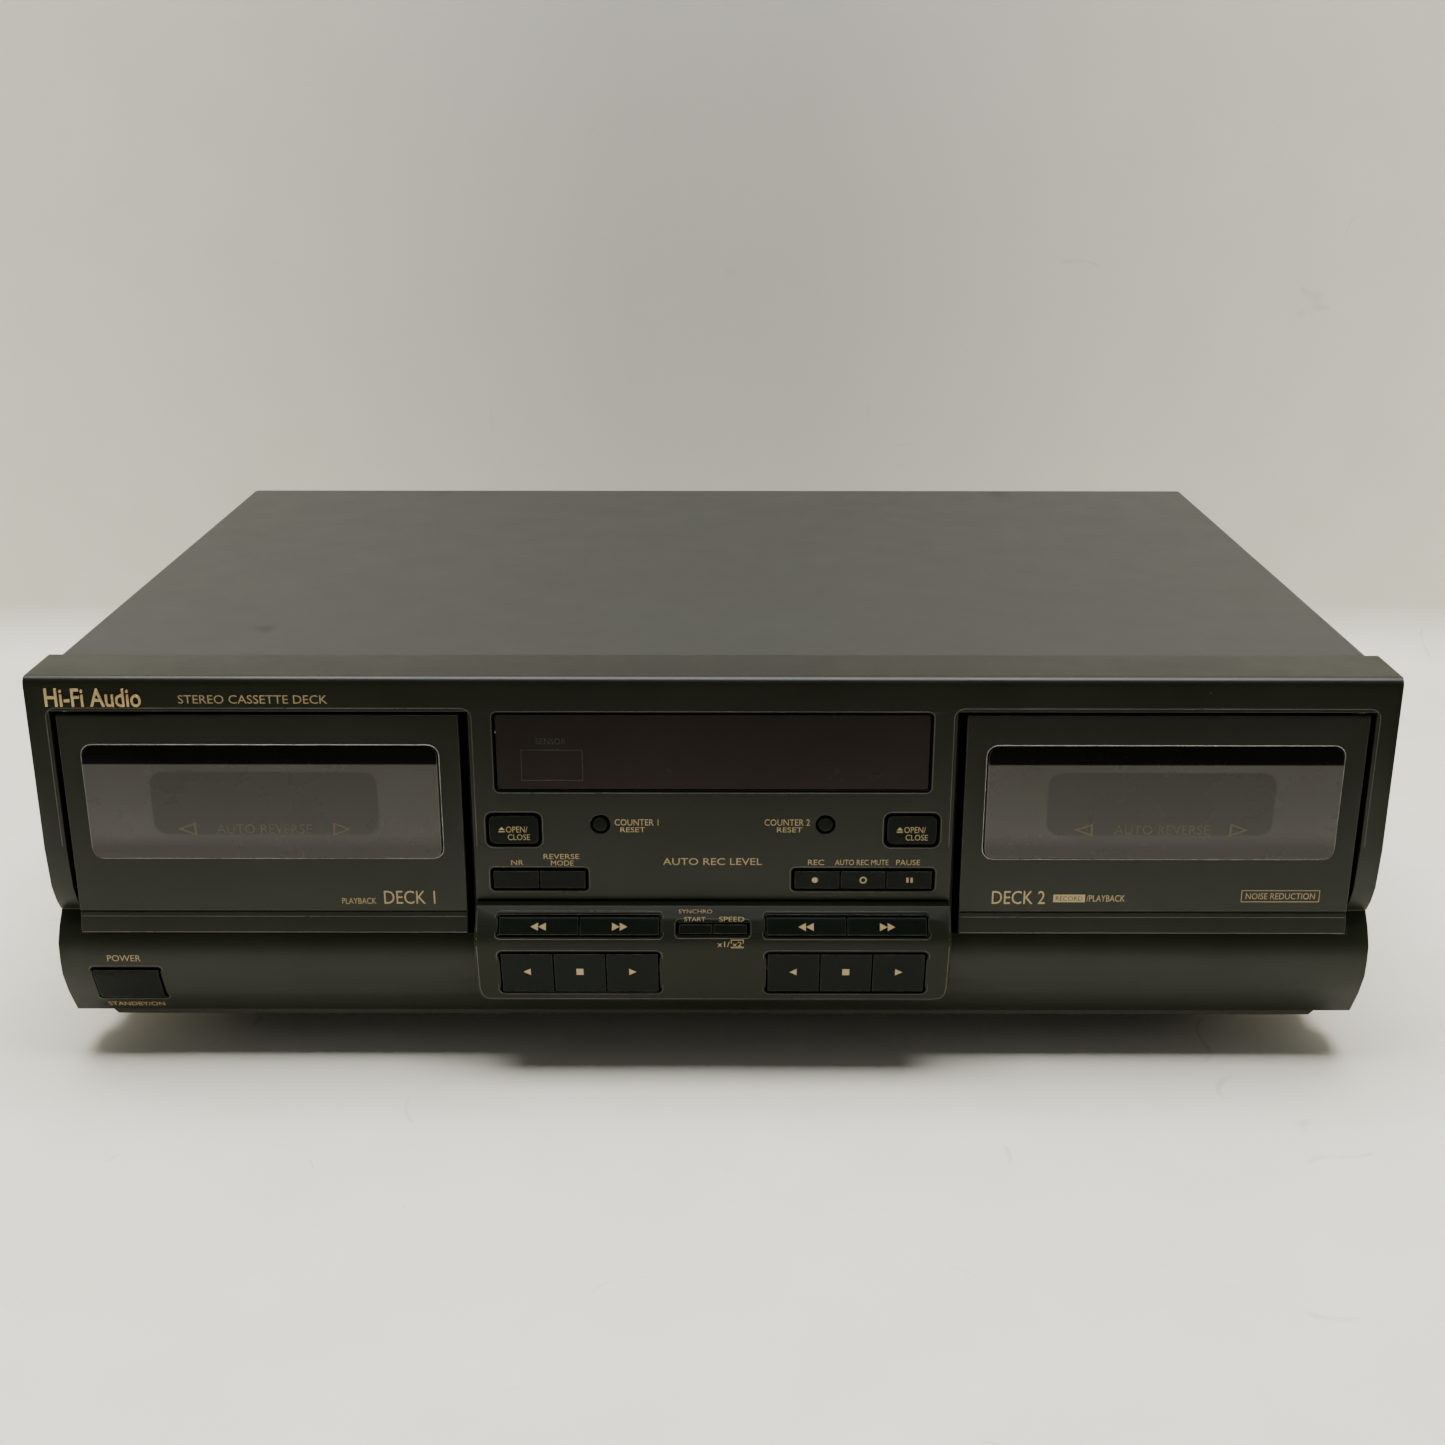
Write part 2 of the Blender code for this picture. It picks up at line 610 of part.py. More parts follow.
def make_rear_panel():
    half = base_half() - BASE_STEEL - 0.6 * MM
    top = COVER_DROP + COVER_STEEL + 0.8 * MM
    y = (REAR_PLANE - REAR_STEEL, REAR_PLANE)
    panel = box("rear_panel", (-half, half), y, (top, BASE_FLOOR - FIT), ZINC_STEEL)
    through = (REAR_PLANE - CUT, REAR_PLANE + CUT)
    for index, (x, d) in enumerate(jack_places()):
        cut(panel, rod(f"jack_hole_{index}", x, d, through, JACK_RADIUS + FIT))
    cut(panel, rod("gland_hole", GLAND_X, GLAND_DOWN, through, GLAND_RADIUS + FIT))


def jack_places():
    offsets = (-JACK_PITCH / 2, JACK_PITCH / 2)
    return [(JACK_X + dx, JACK_DOWN + dd) for dx in offsets for dd in offsets]


def make_jacks():
    reach = JACK_PITCH / 2 + JACK_RADIUS + 4 * MM
    inner = REAR_PLANE - REAR_STEEL - FIT
    y = (inner - JACK_FLANGE - 6 * MM, inner)
    across = (JACK_X - reach, JACK_X + reach)
    block = box("rca_jack_block", across, y, (JACK_DOWN - reach, JACK_DOWN + reach), NYLON)
    for index, (x, d) in enumerate(jack_places()):
        barrel = (inner - 2 * MM, REAR_PLANE + JACK_LENGTH)
        join(block, rod(f"jack_barrel_{index}", x, d, barrel, JACK_RADIUS))
    for index, (x, d) in enumerate(jack_places()):
        bore = (REAR_PLANE - 1 * MM, REAR_PLANE + JACK_LENGTH + CUT)
        cut(block, rod(f"jack_bore_{index}", x, d, bore, JACK_BORE, sides=12))


def make_gland():
    """A moulded bush, with a flange outside and inside the panel and a bore for the lead."""
    inner = REAR_PLANE - REAR_STEEL
    length = GLAND_REACH + REAR_STEEL + 2 * FIT + 4 * MM
    flange = GLAND_RADIUS + 1.6 * MM
    outer = GLAND_REACH
    step = GLAND_REACH - 2.2 * MM
    profile = (
        (GLAND_BORE, outer),
        (GLAND_RADIUS - 1 * MM, outer),
        (flange, step + 1 * MM),
        (flange, step - 1.5 * MM),
        (GLAND_RADIUS, step - 1.5 * MM),
        (GLAND_RADIUS, outer - length),
        (GLAND_BORE, outer - length),
        (GLAND_BORE, outer),
    )
    gland = turned("cord_gland", profile, (GLAND_X, back(inner + REAR_STEEL), down(GLAND_DOWN)), NYLON, 20)
    gland.rotation_euler = (-math.pi / 2, 0, 0)


# ---------------------------------------------------------------- electrics

MAIN_BOARD_DOWN = BASE_FLOOR - 8 * MM
MAIN_BOARD_X = (-62 * MM, 190 * MM)
MAIN_BOARD_FRONT = 82 * MM
MAIN_BOARD_REAR_INSET = 22 * MM
TRANSFORMER_X = -138 * MM
TRANSFORMER_SIZE = (62 * MM, 44 * MM, 52 * MM)
TRANSFORMER_REAR_INSET = 34 * MM


def board_posts():
    inset = 8 * MM
    rear = REAR_PLANE - MAIN_BOARD_REAR_INSET
    across = (MAIN_BOARD_X[0] + inset, MAIN_BOARD_X[1] - inset)
    return [(x, y) for x in across for y in (MAIN_BOARD_FRONT + inset, rear - inset)]


def make_main_board():
    rear = REAR_PLANE - MAIN_BOARD_REAR_INSET
    d = (MAIN_BOARD_DOWN, MAIN_BOARD_DOWN + BOARD_THICK)
    board = box("main_board", MAIN_BOARD_X, (MAIN_BOARD_FRONT, rear), d, PHENOLIC)
    middle = (MAIN_BOARD_FRONT + rear) / 2
    capacitors = ((-30, -30, 8, 25), (-30, 4, 8, 25), (40, 20, 5, 14), (90, -20, 5, 14), (130, 30, 6.5, 20))
    for index, (x, dy, radius, height) in enumerate(capacitors):
        form = bmesh.new()
        tall = (height + 0.5) * MM
        size = radius * MM
        bmesh.ops.create_cone(form, cap_ends=True, segments=12, radius1=size, radius2=size, depth=tall)
        z = down(MAIN_BOARD_DOWN + 0.5 * MM) + tall / 2
        bmesh.ops.translate(form, vec=(x * MM, back(middle + dy * MM), z), verts=form.verts)
        join(board, add_object(f"capacitor_{index}", mesh_from("capacitor", form)))
    top = (MAIN_BOARD_DOWN - 4 * MM, MAIN_BOARD_DOWN + 0.5 * MM)
    for index, (x, dy) in enumerate(((60, -40), (110, -50), (150, -20))):
        chip_x = (x * MM, (x + 24) * MM)
        chip_y = (middle + dy * MM, middle + (dy + 9) * MM)
        join(board, box(f"chip_{index}", chip_x, chip_y, top))


def make_transformer():
    wide, deep, tall = TRANSFORMER_SIZE
    rear = REAR_PLANE - TRANSFORMER_REAR_INSET
    foot = BASE_FLOOR - FIT
    x = (TRANSFORMER_X - wide / 2, TRANSFORMER_X + wide / 2)
    middle = rear - deep / 2
    core = box("power_transformer", x, (middle - 10 * MM, middle + 10 * MM), (foot - tall, foot), LAMINATION)
    coil_rise = (foot - tall + 9 * MM, foot - 9 * MM)
    coil = rounded((x[0] + 11 * MM, x[1] - 11 * MM), coil_rise, (4 * MM, 4 * MM), 2)
    join(core, front_plate("transformer_coil", coil, (middle - deep / 2, middle + deep / 2)))


def make_display():
    x = DISPLAY_HALF - FIT
    d = (DISPLAY_TOP + FIT, DISPLAY_BOTTOM - FIT)
    outline = rounded((-x, x), d, (0.8 * MM, 0.8 * MM), 2)
    front_plate("display_window", outline, (0.5 * MM, FASCIA_WALL), SMOKED_ACRYLIC)
    tube = (DISPLAY_TOP + 3 * MM, DISPLAY_BOTTOM - 2 * MM)
    box("display_tube", (-58 * MM, 62 * MM), (5 * MM, 11 * MM), tube, GLASS)


def make_switch_board():
    half = COLUMN_WIDTH / 2 - 6.8 * MM
    d = (42 * MM, PANEL_TOP + PANEL_HEIGHT + 1 * MM)
    box("switch_board", (-half, half), (BOARD_BACK, BOARD_BACK + BOARD_THICK), d, PHENOLIC)


# ---------------------------------------------------------------- buttons


def make_button(name, x, top, bottom, curve, wall, proud, travel, radius=0.0):
    """A key whose face follows the panel round it, with a retaining flange and a stem to the board."""
    reach = (top - BUTTON_FLANGE, bottom + BUTTON_FLANGE)
    inner = max(curve_back(curve, d) for d in reach) + wall + FIT
    flange = inner + FLANGE_THICK
    end = BOARD_BACK - travel - FIT
    middle = (top + bottom) / 2
    outline = [(curve_back(curve, top) - proud, top)]
    outline += [(b - proud, d) for b, d in curve if top < d < bottom]
    outline += [
        (curve_back(curve, bottom) - proud, bottom),
        (inner, bottom),
        (inner, bottom + BUTTON_FLANGE),
        (flange, bottom + BUTTON_FLANGE),
        (flange, middle + STEM_HEIGHT / 2),
        (end, middle + STEM_HEIGHT / 2),
        (end, middle - STEM_HEIGHT / 2),
        (flange, middle - STEM_HEIGHT / 2),
        (flange, top - BUTTON_FLANGE),
        (inner, top - BUTTON_FLANGE),
        (inner, top),
    ]
    key = side_plate(name, outline, x, BUTTON_ABS)
    if radius:
        shape = rounded(x, (top, bottom), (radius, radius))
        trim = front_plate(name + "_shape", shape, (curve_back(curve, middle) - CUT, inner - FIT / 2))
        rest = box(name + "_rest", x, (inner - FIT / 2, end + CUT), (top - CUT, bottom + CUT))
        join(trim, rest)
        boolean(key, trim, "INTERSECT")
    set_origin(key, (sum(x) / 2, back(outline[0][0]), down(middle)))
    return key


def make_row(names, slot, curve, wall, proud, travel, dividers=None):
    """Keys side by side in one slot, parted evenly or at the given dividers."""
    left, right, top, bottom, _ = slot
    left, right = left + SLOT_FIT, right - SLOT_FIT
    if dividers is None:
        count = len(names)
        dividers = [left + (right - left) * index / count for index in range(1, count)]
    edges = [left, *dividers, right]
    for index, name in enumerate(names):
        start = edges[index] + (BUTTON_SPACE / 2 if index else 0)
        stop = edges[index + 1] - (BUTTON_SPACE / 2 if index < len(names) - 1 else 0)
        make_button(name, (start, stop), top + SLOT_FIT, bottom - SLOT_FIT, curve, wall, proud, travel)


def make_buttons():
    face = ((0, 0), (0, PANEL_TOP))
    for number in (1, 2):
        left, right, top, bottom, radius = FACE_SLOTS[f"open_close_{number}"]
        across = (left + SLOT_FIT, right - SLOT_FIT)
        name = f"open_close_button_{number}"
        fitted = (top + SLOT_FIT, bottom - SLOT_FIT)
        make_button(name, across, *fitted, face, FASCIA_WALL, 0.2 * MM, TRAVEL, radius)
    pair = ("noise_reduction_button", "reverse_mode_button")
    make_row(pair, FACE_SLOTS["mode_pair"], face, FASCIA_WALL, 0.4 * MM, TRAVEL)
    record_names = ("record_button", "record_mute_button", "pause_button")
    make_row(record_names, FACE_SLOTS["record_trio"], face, FASCIA_WALL, 0.4 * MM, TRAVEL)
    for number in (1, 2):
        pair = (f"rewind_button_{number}", f"fast_forward_button_{number}")
        make_row(pair, PANEL_SLOTS[f"wind_pair_{number}"], PANEL_CURVE, PANEL_WALL, 0.3 * MM, TRAVEL)
        trio = (f"play_reverse_button_{number}", f"stop_button_{number}", f"play_button_{number}")
        make_row(trio, PANEL_SLOTS[f"play_trio_{number}"], PANEL_CURVE, PANEL_WALL, 0.3 * MM, TRAVEL)
    pair = ("synchro_start_button", "speed_button")
    make_row(pair, PANEL_SLOTS["dub_pair"], PANEL_CURVE, PANEL_WALL, 0.2 * MM, TRAVEL)
    make_row(("power_button",), POWER_SLOT, LOWER_BODY, FASCIA_WALL, 0.6 * MM, 3 * MM)
    for side, number in ((-1, 1), (1, 2)):
        flange = FASCIA_WALL + FIT
        end = BOARD_BACK - TRAVEL - FIT
        profile = (
            (0, 0.3 * MM),
            (COUNTER_RADIUS, 0.3 * MM),
            (COUNTER_RADIUS, -flange),
            (COUNTER_WELL + 1 * MM, -flange),
            (COUNTER_WELL + 1 * MM, -flange - FLANGE_THICK),
            (1 * MM, -flange - FLANGE_THICK),
            (1 * MM, -end),
            (0, -end),
        )
        place = (side * COUNTER_X, FACE_Y, down(COUNTER_DOWN))
        turned(f"counter_reset_button_{number}", profile, place, BUTTON_ABS, 16, to_front=True)


# ---------------------------------------------------------------- doors


def make_door(number, centre):
    half = DOOR_WIDTH / 2
    hinge = add_empty(f"door_hinge_{number}", (centre, back(HINGE_BACK), down(HINGE_DOWN)))
    groove = DOOR_BOTTOM - GROOVE_DOWN
    outline = (
        (DOOR_WALL, DOOR_TOP),
        (0.6 * MM, DOOR_TOP),
        (0, DOOR_TOP + 0.6 * MM),
        (0, groove),
        (0.7 * MM, groove),
        (0.7 * MM, groove + GROOVE_WIDTH),
        (0, groove + GROOVE_WIDTH),
        (-LIP_PROUD, DOOR_BOTTOM - 0.6 * MM),
        (-LIP_PROUD, DOOR_BOTTOM),
        (1.5 * MM, DOOR_BOTTOM),
        (1.5 * MM, groove + 3 * MM),
        (DOOR_WALL, groove + 1.5 * MM),
    )
    frame = side_plate(f"door_frame_{number}", outline, (centre - half, centre + half), BLACK_ABS)
    lens_half, lens_tall = LENS_WIDTH / 2, LENS_HEIGHT / 2
    wide = (centre - lens_half, centre + lens_half)
    tall = (HUB_DOWN - lens_tall + 0.2 * MM, HUB_DOWN + lens_tall + 0.2 * MM)
    window = rounded(wide, tall, (LENS_CORNER, LENS_CORNER))
    cut(frame, front_plate(f"lens_opening_{number}", window, (-CUT, CUT)))
    ear_in = HOLDER_HALF + HOLDER_SHEET + 3 * MM
    for side, name in ((-1, "left"), (1, "right")):
        across = (centre + side * ear_in, centre + side * (ear_in + EAR_WIDTH))
        rise = (HINGE_DOWN - 5.5 * MM, HINGE_DOWN + 2.4 * MM)
        join(frame, box(f"door_ear_{number}_{name}", across, (0.8 * MM, HINGE_BACK + 2.4 * MM), rise))
        pin = (centre + side * (ear_in - 3.6 * MM), centre + side * (ear_in + 1 * MM))
        join(frame, cross_pin(f"door_pin_{number}_{name}", pin, HINGE_BACK, HINGE_DOWN, HINGE_PIN))
    set_origin(frame, hinge.location)
    side_outline = (
        (LENS_BACK, tall[0]),
        (0.2 * MM, tall[0]),
        (-LENS_PROUD, tall[0] + LENS_SLOPE),
        (-LENS_PROUD, tall[1] - 0.9 * MM),
        (-LENS_PROUD + 0.6 * MM, tall[1]),
        (LENS_BACK, tall[1]),
    )
    lens = side_plate(f"door_window_{number}", side_outline, wide, SMOKED_ACRYLIC)
    shape = rounded(
        (wide[0] + FIT, wide[1] - FIT),
        (tall[0] + FIT, tall[1] - FIT),
        (LENS_CORNER - FIT, LENS_CORNER - FIT),
    )
    boolean(lens, front_plate(f"lens_shape_{number}", shape, (-CUT, CUT)), "INTERSECT")
    set_origin(lens, hinge.location)
    holder = make_holder(number, centre)
    set_origin(holder, hinge.location)
    for piece in (frame, lens, holder):
        piece.location = (0, 0, 0)
        piece.parent = hinge
    return hinge


def make_holder(number, centre):
    """A channel down each side, joined by an apron below the lens and a short shelf at each end."""
    outer = HOLDER_HALF + HOLDER_SHEET
    top = CASSETTE_DOWN - CASSETTE_HEIGHT + 4 * MM
    shelf = CASSETTE_DOWN + HOLDER_SHEET
    rear = CASSETTE_REAR + HOLDER_SHEET
    apron = (HUB_DOWN + LENS_HEIGHT / 2 + 2 * MM, shelf)
    front = (HOLDER_FRONT, CASSETTE_FRONT)
    holder = box(f"cassette_holder_{number}", (centre - outer, centre + outer), front, apron, ZINC_STEEL)
    for side, name in ((-1, "left"), (1, "right")):
        across = (centre + side * (outer - HOLDER_LIP), centre + side * outer)
        channel = box(f"holder_channel_{number}_{name}", across, (HOLDER_FRONT, rear), (top, shelf))
        inside = (centre + side * (outer - HOLDER_LIP - CUT), centre + side * HOLDER_HALF)
        space = (CASSETTE_FRONT, CASSETTE_REAR)
        cut(channel, box(f"holder_space_{number}_{name}", inside, space, (0, CASSETTE_DOWN)))
        join(holder, channel)
        ledge = (centre + side * (CAPSTAN_X + 9 * MM), centre + side * (outer - 1 * MM))
        shelf_y = (HOLDER_FRONT + 0.4 * MM, rear - 0.4 * MM)
        join(holder, box(f"holder_shelf_{number}_{name}", ledge, shelf_y, (CASSETTE_DOWN, shelf)))
    return holder


# ---------------------------------------------------------------- tape mechanisms


def make_mechanism(number, centre):
    plate_top = HUB_DOWN - 26 * MM
    foot = BASE_FLOOR - FIT
    shoulder = HINGE_DOWN + 8 * MM
    outline = (
        (centre - MECH_HALF, plate_top),
        (centre + MECH_HALF, plate_top),
        (centre + MECH_HALF, shoulder - MECH_CHAMFER),
        (centre + TONGUE_HALF, shoulder),
        (centre + TONGUE_HALF, foot),
        (centre - TONGUE_HALF, foot),
        (centre - TONGUE_HALF, shoulder),
        (centre - MECH_HALF, shoulder - MECH_CHAMFER),
    )
    rear = MECH_BACK + MECH_STEEL
    frame = front_plate(f"mech_plate_{number}", outline, (MECH_BACK, rear), ZINC_STEEL)
    flange = (centre - TONGUE_HALF + 1 * MM, centre + TONGUE_HALF - 1 * MM)
    ledge = (foot - MECH_STEEL - 0.5 * MM, foot - 0.5 * MM)
    join(frame, box(f"mech_foot_{number}", flange, (rear - 1 * MM, rear + 14 * MM), ledge))
    ear = HOLDER_HALF + HOLDER_SHEET + 3 * MM - FIT
    for side, name in ((-1, "left"), (1, "right")):
        across = (centre + side * (ear - 2 * MM), centre + side * ear)
        rise = (HINGE_DOWN - 4 * MM, HINGE_DOWN + 4 * MM)
        ear_depth = (HINGE_BACK - 3 * MM, MECH_BACK + 0.7 * MM)
        join(frame, box(f"mech_ear_{number}_{name}", across, ear_depth, rise))
        hole = (centre + side * (ear - CUT), centre + side * (ear + CUT))
        pin = HINGE_PIN + HINGE_PLAY
        cut(frame, cross_pin(f"mech_hinge_{number}_{name}", hole, HINGE_BACK, HINGE_DOWN, pin))
        through = (MECH_BACK - CUT, rear + CUT)
        reel_x = centre + side * HUB_PITCH / 2
        clear = SHAFT_RADIUS + SHAFT_PLAY
        cut(frame, rod(f"reel_hole_{number}_{name}", reel_x, HUB_DOWN, through, clear, sides=12))
        fly_x = centre + side * CAPSTAN_X
        clear = CAPSTAN_RADIUS + SHAFT_PLAY
        cut(frame, rod(f"capstan_hole_{number}_{name}", fly_x, CAPSTAN_DOWN, through, clear, sides=12))
        make_reel(f"reel_{name}_{number}", reel_x)
        make_flywheel(f"flywheel_{name}_{number}", fly_x)
    make_motor(number, centre)
    make_head(number, centre)


def make_reel(name, x):
    """Spindle, turntable, shaft through the plate and the gear behind it."""
    table = MECH_BACK - 0.6 * MM
    gear = MECH_BACK + MECH_STEEL + 0.6 * MM
    profile = (
        (0, -SHAFT_TIP),
        (1.8 * MM, -SHAFT_TIP),
        (REEL_TIP_RADIUS, -SHAFT_TIP - 2.5 * MM),
        (REEL_TIP_RADIUS, -table + 3 * MM),
        (REEL_TABLE_RADIUS, -table + 3 * MM),
        (REEL_TABLE_RADIUS, -table),
        (SHAFT_RADIUS, -table),
        (SHAFT_RADIUS, -gear),
        (REEL_GEAR_RADIUS, -gear),
        (REEL_GEAR_RADIUS, -gear - 3 * MM),
        (0, -gear - 3 * MM),
    )
    turned(name, profile, (x, FACE_Y, down(HUB_DOWN)), NYLON, 20, to_front=True)


def make_flywheel(name, x):
    """Capstan shaft and the heavy wheel on its rear end."""
    wheel = FLYWHEEL_BACK
    profile = (
        (0, -SHAFT_TIP),
        (CAPSTAN_RADIUS, -SHAFT_TIP),
        (CAPSTAN_RADIUS, -wheel + 2 * MM),
        (4 * MM, -wheel + 2 * MM),
        (4 * MM, -wheel),
        (FLYWHEEL_RADIUS, -wheel),
        (FLYWHEEL_RADIUS, -wheel - FLYWHEEL_THICK),
        (0, -wheel - FLYWHEEL_THICK),
    )
    turned(name, profile, (x, FACE_Y, down(CAPSTAN_DOWN)), BRASS, 24, to_front=True)


def make_motor(number, centre):
    front = MECH_BACK + MECH_STEEL + FIT
    rear = front + MOTOR_LENGTH
    profile = (
        (0, -front),
        (MOTOR_RADIUS, -front),
        (MOTOR_RADIUS, -rear),
        (3 * MM, -rear),
        (3 * MM, -rear - 1.2 * MM),
        (0, -rear - 1.2 * MM),
    )
    place = (centre, FACE_Y, down(MOTOR_DOWN))
    turned(f"capstan_motor_{number}", profile, place, ZINC_STEEL, 20, to_front=True)
    start = rear + 1.2 * MM + FIT
    groove = FLYWHEEL_BACK + FLYWHEEL_THICK / 2
    pulley = (
        (0, -start),
        (1 * MM, -start),
        (1 * MM, -FLYWHEEL_BACK),
        (PULLEY_RADIUS, -FLYWHEEL_BACK),
        (PULLEY_RADIUS - 1 * MM, -groove),
        (PULLEY_RADIUS, -FLYWHEEL_BACK - FLYWHEEL_THICK),
        (0, -FLYWHEEL_BACK - FLYWHEEL_THICK),
    )
    turned(f"motor_pulley_{number}", pulley, place, BRASS, 16, to_front=True)


def make_head(number, centre):
    """Tape head and two pinch rollers on a carriage that rises into the cassette."""
    bar = (HINGE_DOWN - 2.5 * MM, HINGE_DOWN + 2 * MM)
    across = (centre - 40 * MM, centre + 40 * MM)
    carriage = box(f"head_carriage_{number}", across, (9 * MM, 20 * MM), bar, ZINC_STEEL)
    top = CASSETTE_DOWN + 2.4 * MM
    head_across = (centre - 8 * MM, centre + 8 * MM)
    head_rise = (top, bar[0] + 0.6 * MM)
    join(carriage, box(f"tape_head_{number}", head_across, (7 * MM, 16 * MM), head_rise))
    for side, name in ((-1, "left"), (1, "right")):
        roller = rod(
            f"pinch_roller_{number}_{name}",
            centre + side * CAPSTAN_X,
            top + 4.4 * MM,
            (8.6 * MM, 15.4 * MM),
            4.4 * MM,
            sides=12,
        )
        join(carriage, roller)
    set_origin(carriage, (centre, back(SHAFT_TIP), down(bar[1])))


make_fascia()
make_transport_panel()
make_cover()
make_base()
make_feet()
make_rear_panel()
make_jacks()
make_gland()
make_main_board()
make_transformer()
make_display()
make_switch_board()
make_buttons()
for deck_number, deck_side in ((1, -1), (2, 1)):
    make_door(deck_number, deck_side * DOOR_X)
    make_mechanism(deck_number, deck_side * DOOR_X)
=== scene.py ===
"""A double cassette deck on a pale table.

The frame's solids get moulded, printed, plated and painted finishes. Sizes are in millimetres as
(x, back, down): x to the right from the middle, "back" behind the plane of the face and "down" below the
fascia's top edge. place() turns them into the frame's metres.
"""

import json
import math

import bpy
import numpy as np
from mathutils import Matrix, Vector
from mathutils.bvhtree import BVHTree

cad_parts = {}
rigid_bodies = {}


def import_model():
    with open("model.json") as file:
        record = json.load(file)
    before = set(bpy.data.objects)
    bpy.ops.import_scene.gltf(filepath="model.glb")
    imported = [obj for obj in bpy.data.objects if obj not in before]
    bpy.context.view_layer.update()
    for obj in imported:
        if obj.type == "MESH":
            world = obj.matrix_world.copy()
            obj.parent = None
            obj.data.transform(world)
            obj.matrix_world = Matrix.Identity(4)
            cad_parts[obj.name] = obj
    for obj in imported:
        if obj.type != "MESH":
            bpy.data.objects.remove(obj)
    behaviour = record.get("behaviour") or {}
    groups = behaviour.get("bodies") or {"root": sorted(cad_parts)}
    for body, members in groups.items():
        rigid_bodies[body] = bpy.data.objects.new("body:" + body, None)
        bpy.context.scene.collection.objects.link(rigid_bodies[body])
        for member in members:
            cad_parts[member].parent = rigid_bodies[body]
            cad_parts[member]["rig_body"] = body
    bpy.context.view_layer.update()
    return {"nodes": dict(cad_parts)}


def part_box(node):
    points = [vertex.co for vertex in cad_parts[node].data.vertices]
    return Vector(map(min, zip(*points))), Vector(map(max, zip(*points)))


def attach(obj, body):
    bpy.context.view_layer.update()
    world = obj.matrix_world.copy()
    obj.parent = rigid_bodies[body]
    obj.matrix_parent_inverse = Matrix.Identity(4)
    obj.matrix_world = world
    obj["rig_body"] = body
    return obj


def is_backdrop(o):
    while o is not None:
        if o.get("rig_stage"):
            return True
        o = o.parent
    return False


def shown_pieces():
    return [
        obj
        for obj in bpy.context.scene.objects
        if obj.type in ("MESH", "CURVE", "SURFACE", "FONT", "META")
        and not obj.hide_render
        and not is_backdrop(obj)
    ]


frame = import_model()
NODES = frame["nodes"]

MM = 0.001
CASE_DEPTH = 280
FACE_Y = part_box("top_cover")[1].y - CASE_DEPTH * MM
TOP_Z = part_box("front_fascia")[1].z
COVER_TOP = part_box("top_cover")[1].z
INK = 0.03  # thickness of printed ink
LIFT = 0.02  # ink above the surface it is printed on
CURVED_LIFT = 0.12  # the same on a curved skin, where the letters are flat between their corners
DECKS = {"1": -142.9, "2": 142.9}  # the middle of each door
CLOUD = 38  # mm across the clouds in a finish's tone
SMEAR = 22  # mm across the clouds in its roughness
EDGE_TURN = (0.995, 0.86)  # cosine of the rounded edge's turn where wear and painted highlight start and where they are full
WEAR_AND_HIGHLIGHT_PATCH = 3.5  # mm across the breaks in edge wear and painted highlight
DUST_CELL = 5  # mm between specks
DUST_RADIUS = 0.022  # of a speck, as a share of its cell


def place(x, back, down):
    """The frame's metres for a point in millimetres; numpy arrays work as well."""
    return x * MM, FACE_Y + back * MM, TOP_Z - down * MM


# ---------------------------------------------------------------- shader helpers
def colour(text):
    """A linear colour from an sRGB hex string."""
    parts = [int(text[i : i + 2], 16) / 255 for i in (0, 2, 4)]
    return tuple(p / 12.92 if p <= 0.04045 else ((p + 0.055) / 1.055) ** 2.4 for p in parts) + (1.0,)


def put(tree, kind, inputs=None, **settings):
    """Adds one shader node; each input is a value or another node's output."""
    node = tree.nodes.new("ShaderNode" + kind)
    for key, value in settings.items():
        setattr(node, key, value)
    for key, value in (inputs or {}).items():
        if isinstance(value, bpy.types.NodeSocket):
            tree.links.new(value, node.inputs[key])
        else:
            node.inputs[key].default_value = value
    return node


def math_node(tree, operation, a, b=0.0):
    return put(tree, "Math", {0: a, 1: b}, operation=operation).outputs[0]


def remap(tree, value, low, high, to_low=0.0, to_high=1.0):
    return put(tree, "MapRange", {0: value, 1: low, 2: high, 3: to_low, 4: to_high}).outputs[0]


def mix(tree, factor, a, b):
    return put(tree, "Mix", {0: factor, 6: a, 7: b}, data_type="RGBA").outputs[2]


def noise(tree, where, size, detail=2.0, roughness=0.5):
    """Cloud noise whose features are about this many millimetres across."""
    inputs = {"Vector": where, "Scale": 1 / (size * MM), "Detail": detail, "Roughness": roughness}
    return put(tree, "TexNoise", inputs).outputs[0]


def rounded_box(tree, where, centre, half, radius):
    """Signed distance in metres to a rounded rectangle in X and Z, mirrored in x = 0."""
    axes = put(tree, "SeparateXYZ", {0: where}).outputs
    x = math_node(tree, "SUBTRACT", math_node(tree, "ABSOLUTE", axes[0]), centre[0])
    z = math_node(tree, "SUBTRACT", axes[2], centre[1])
    squares = []
    for value, reach in ((x, half[0]), (z, half[1])):
        past = math_node(tree, "SUBTRACT", math_node(tree, "ABSOLUTE", value), reach - radius)
        squares.append(math_node(tree, "POWER", math_node(tree, "MAXIMUM", past, 0.0), 2.0))
    length = math_node(tree, "SQRT", math_node(tree, "ADD", *squares))
    return math_node(tree, "SUBTRACT", length, radius)


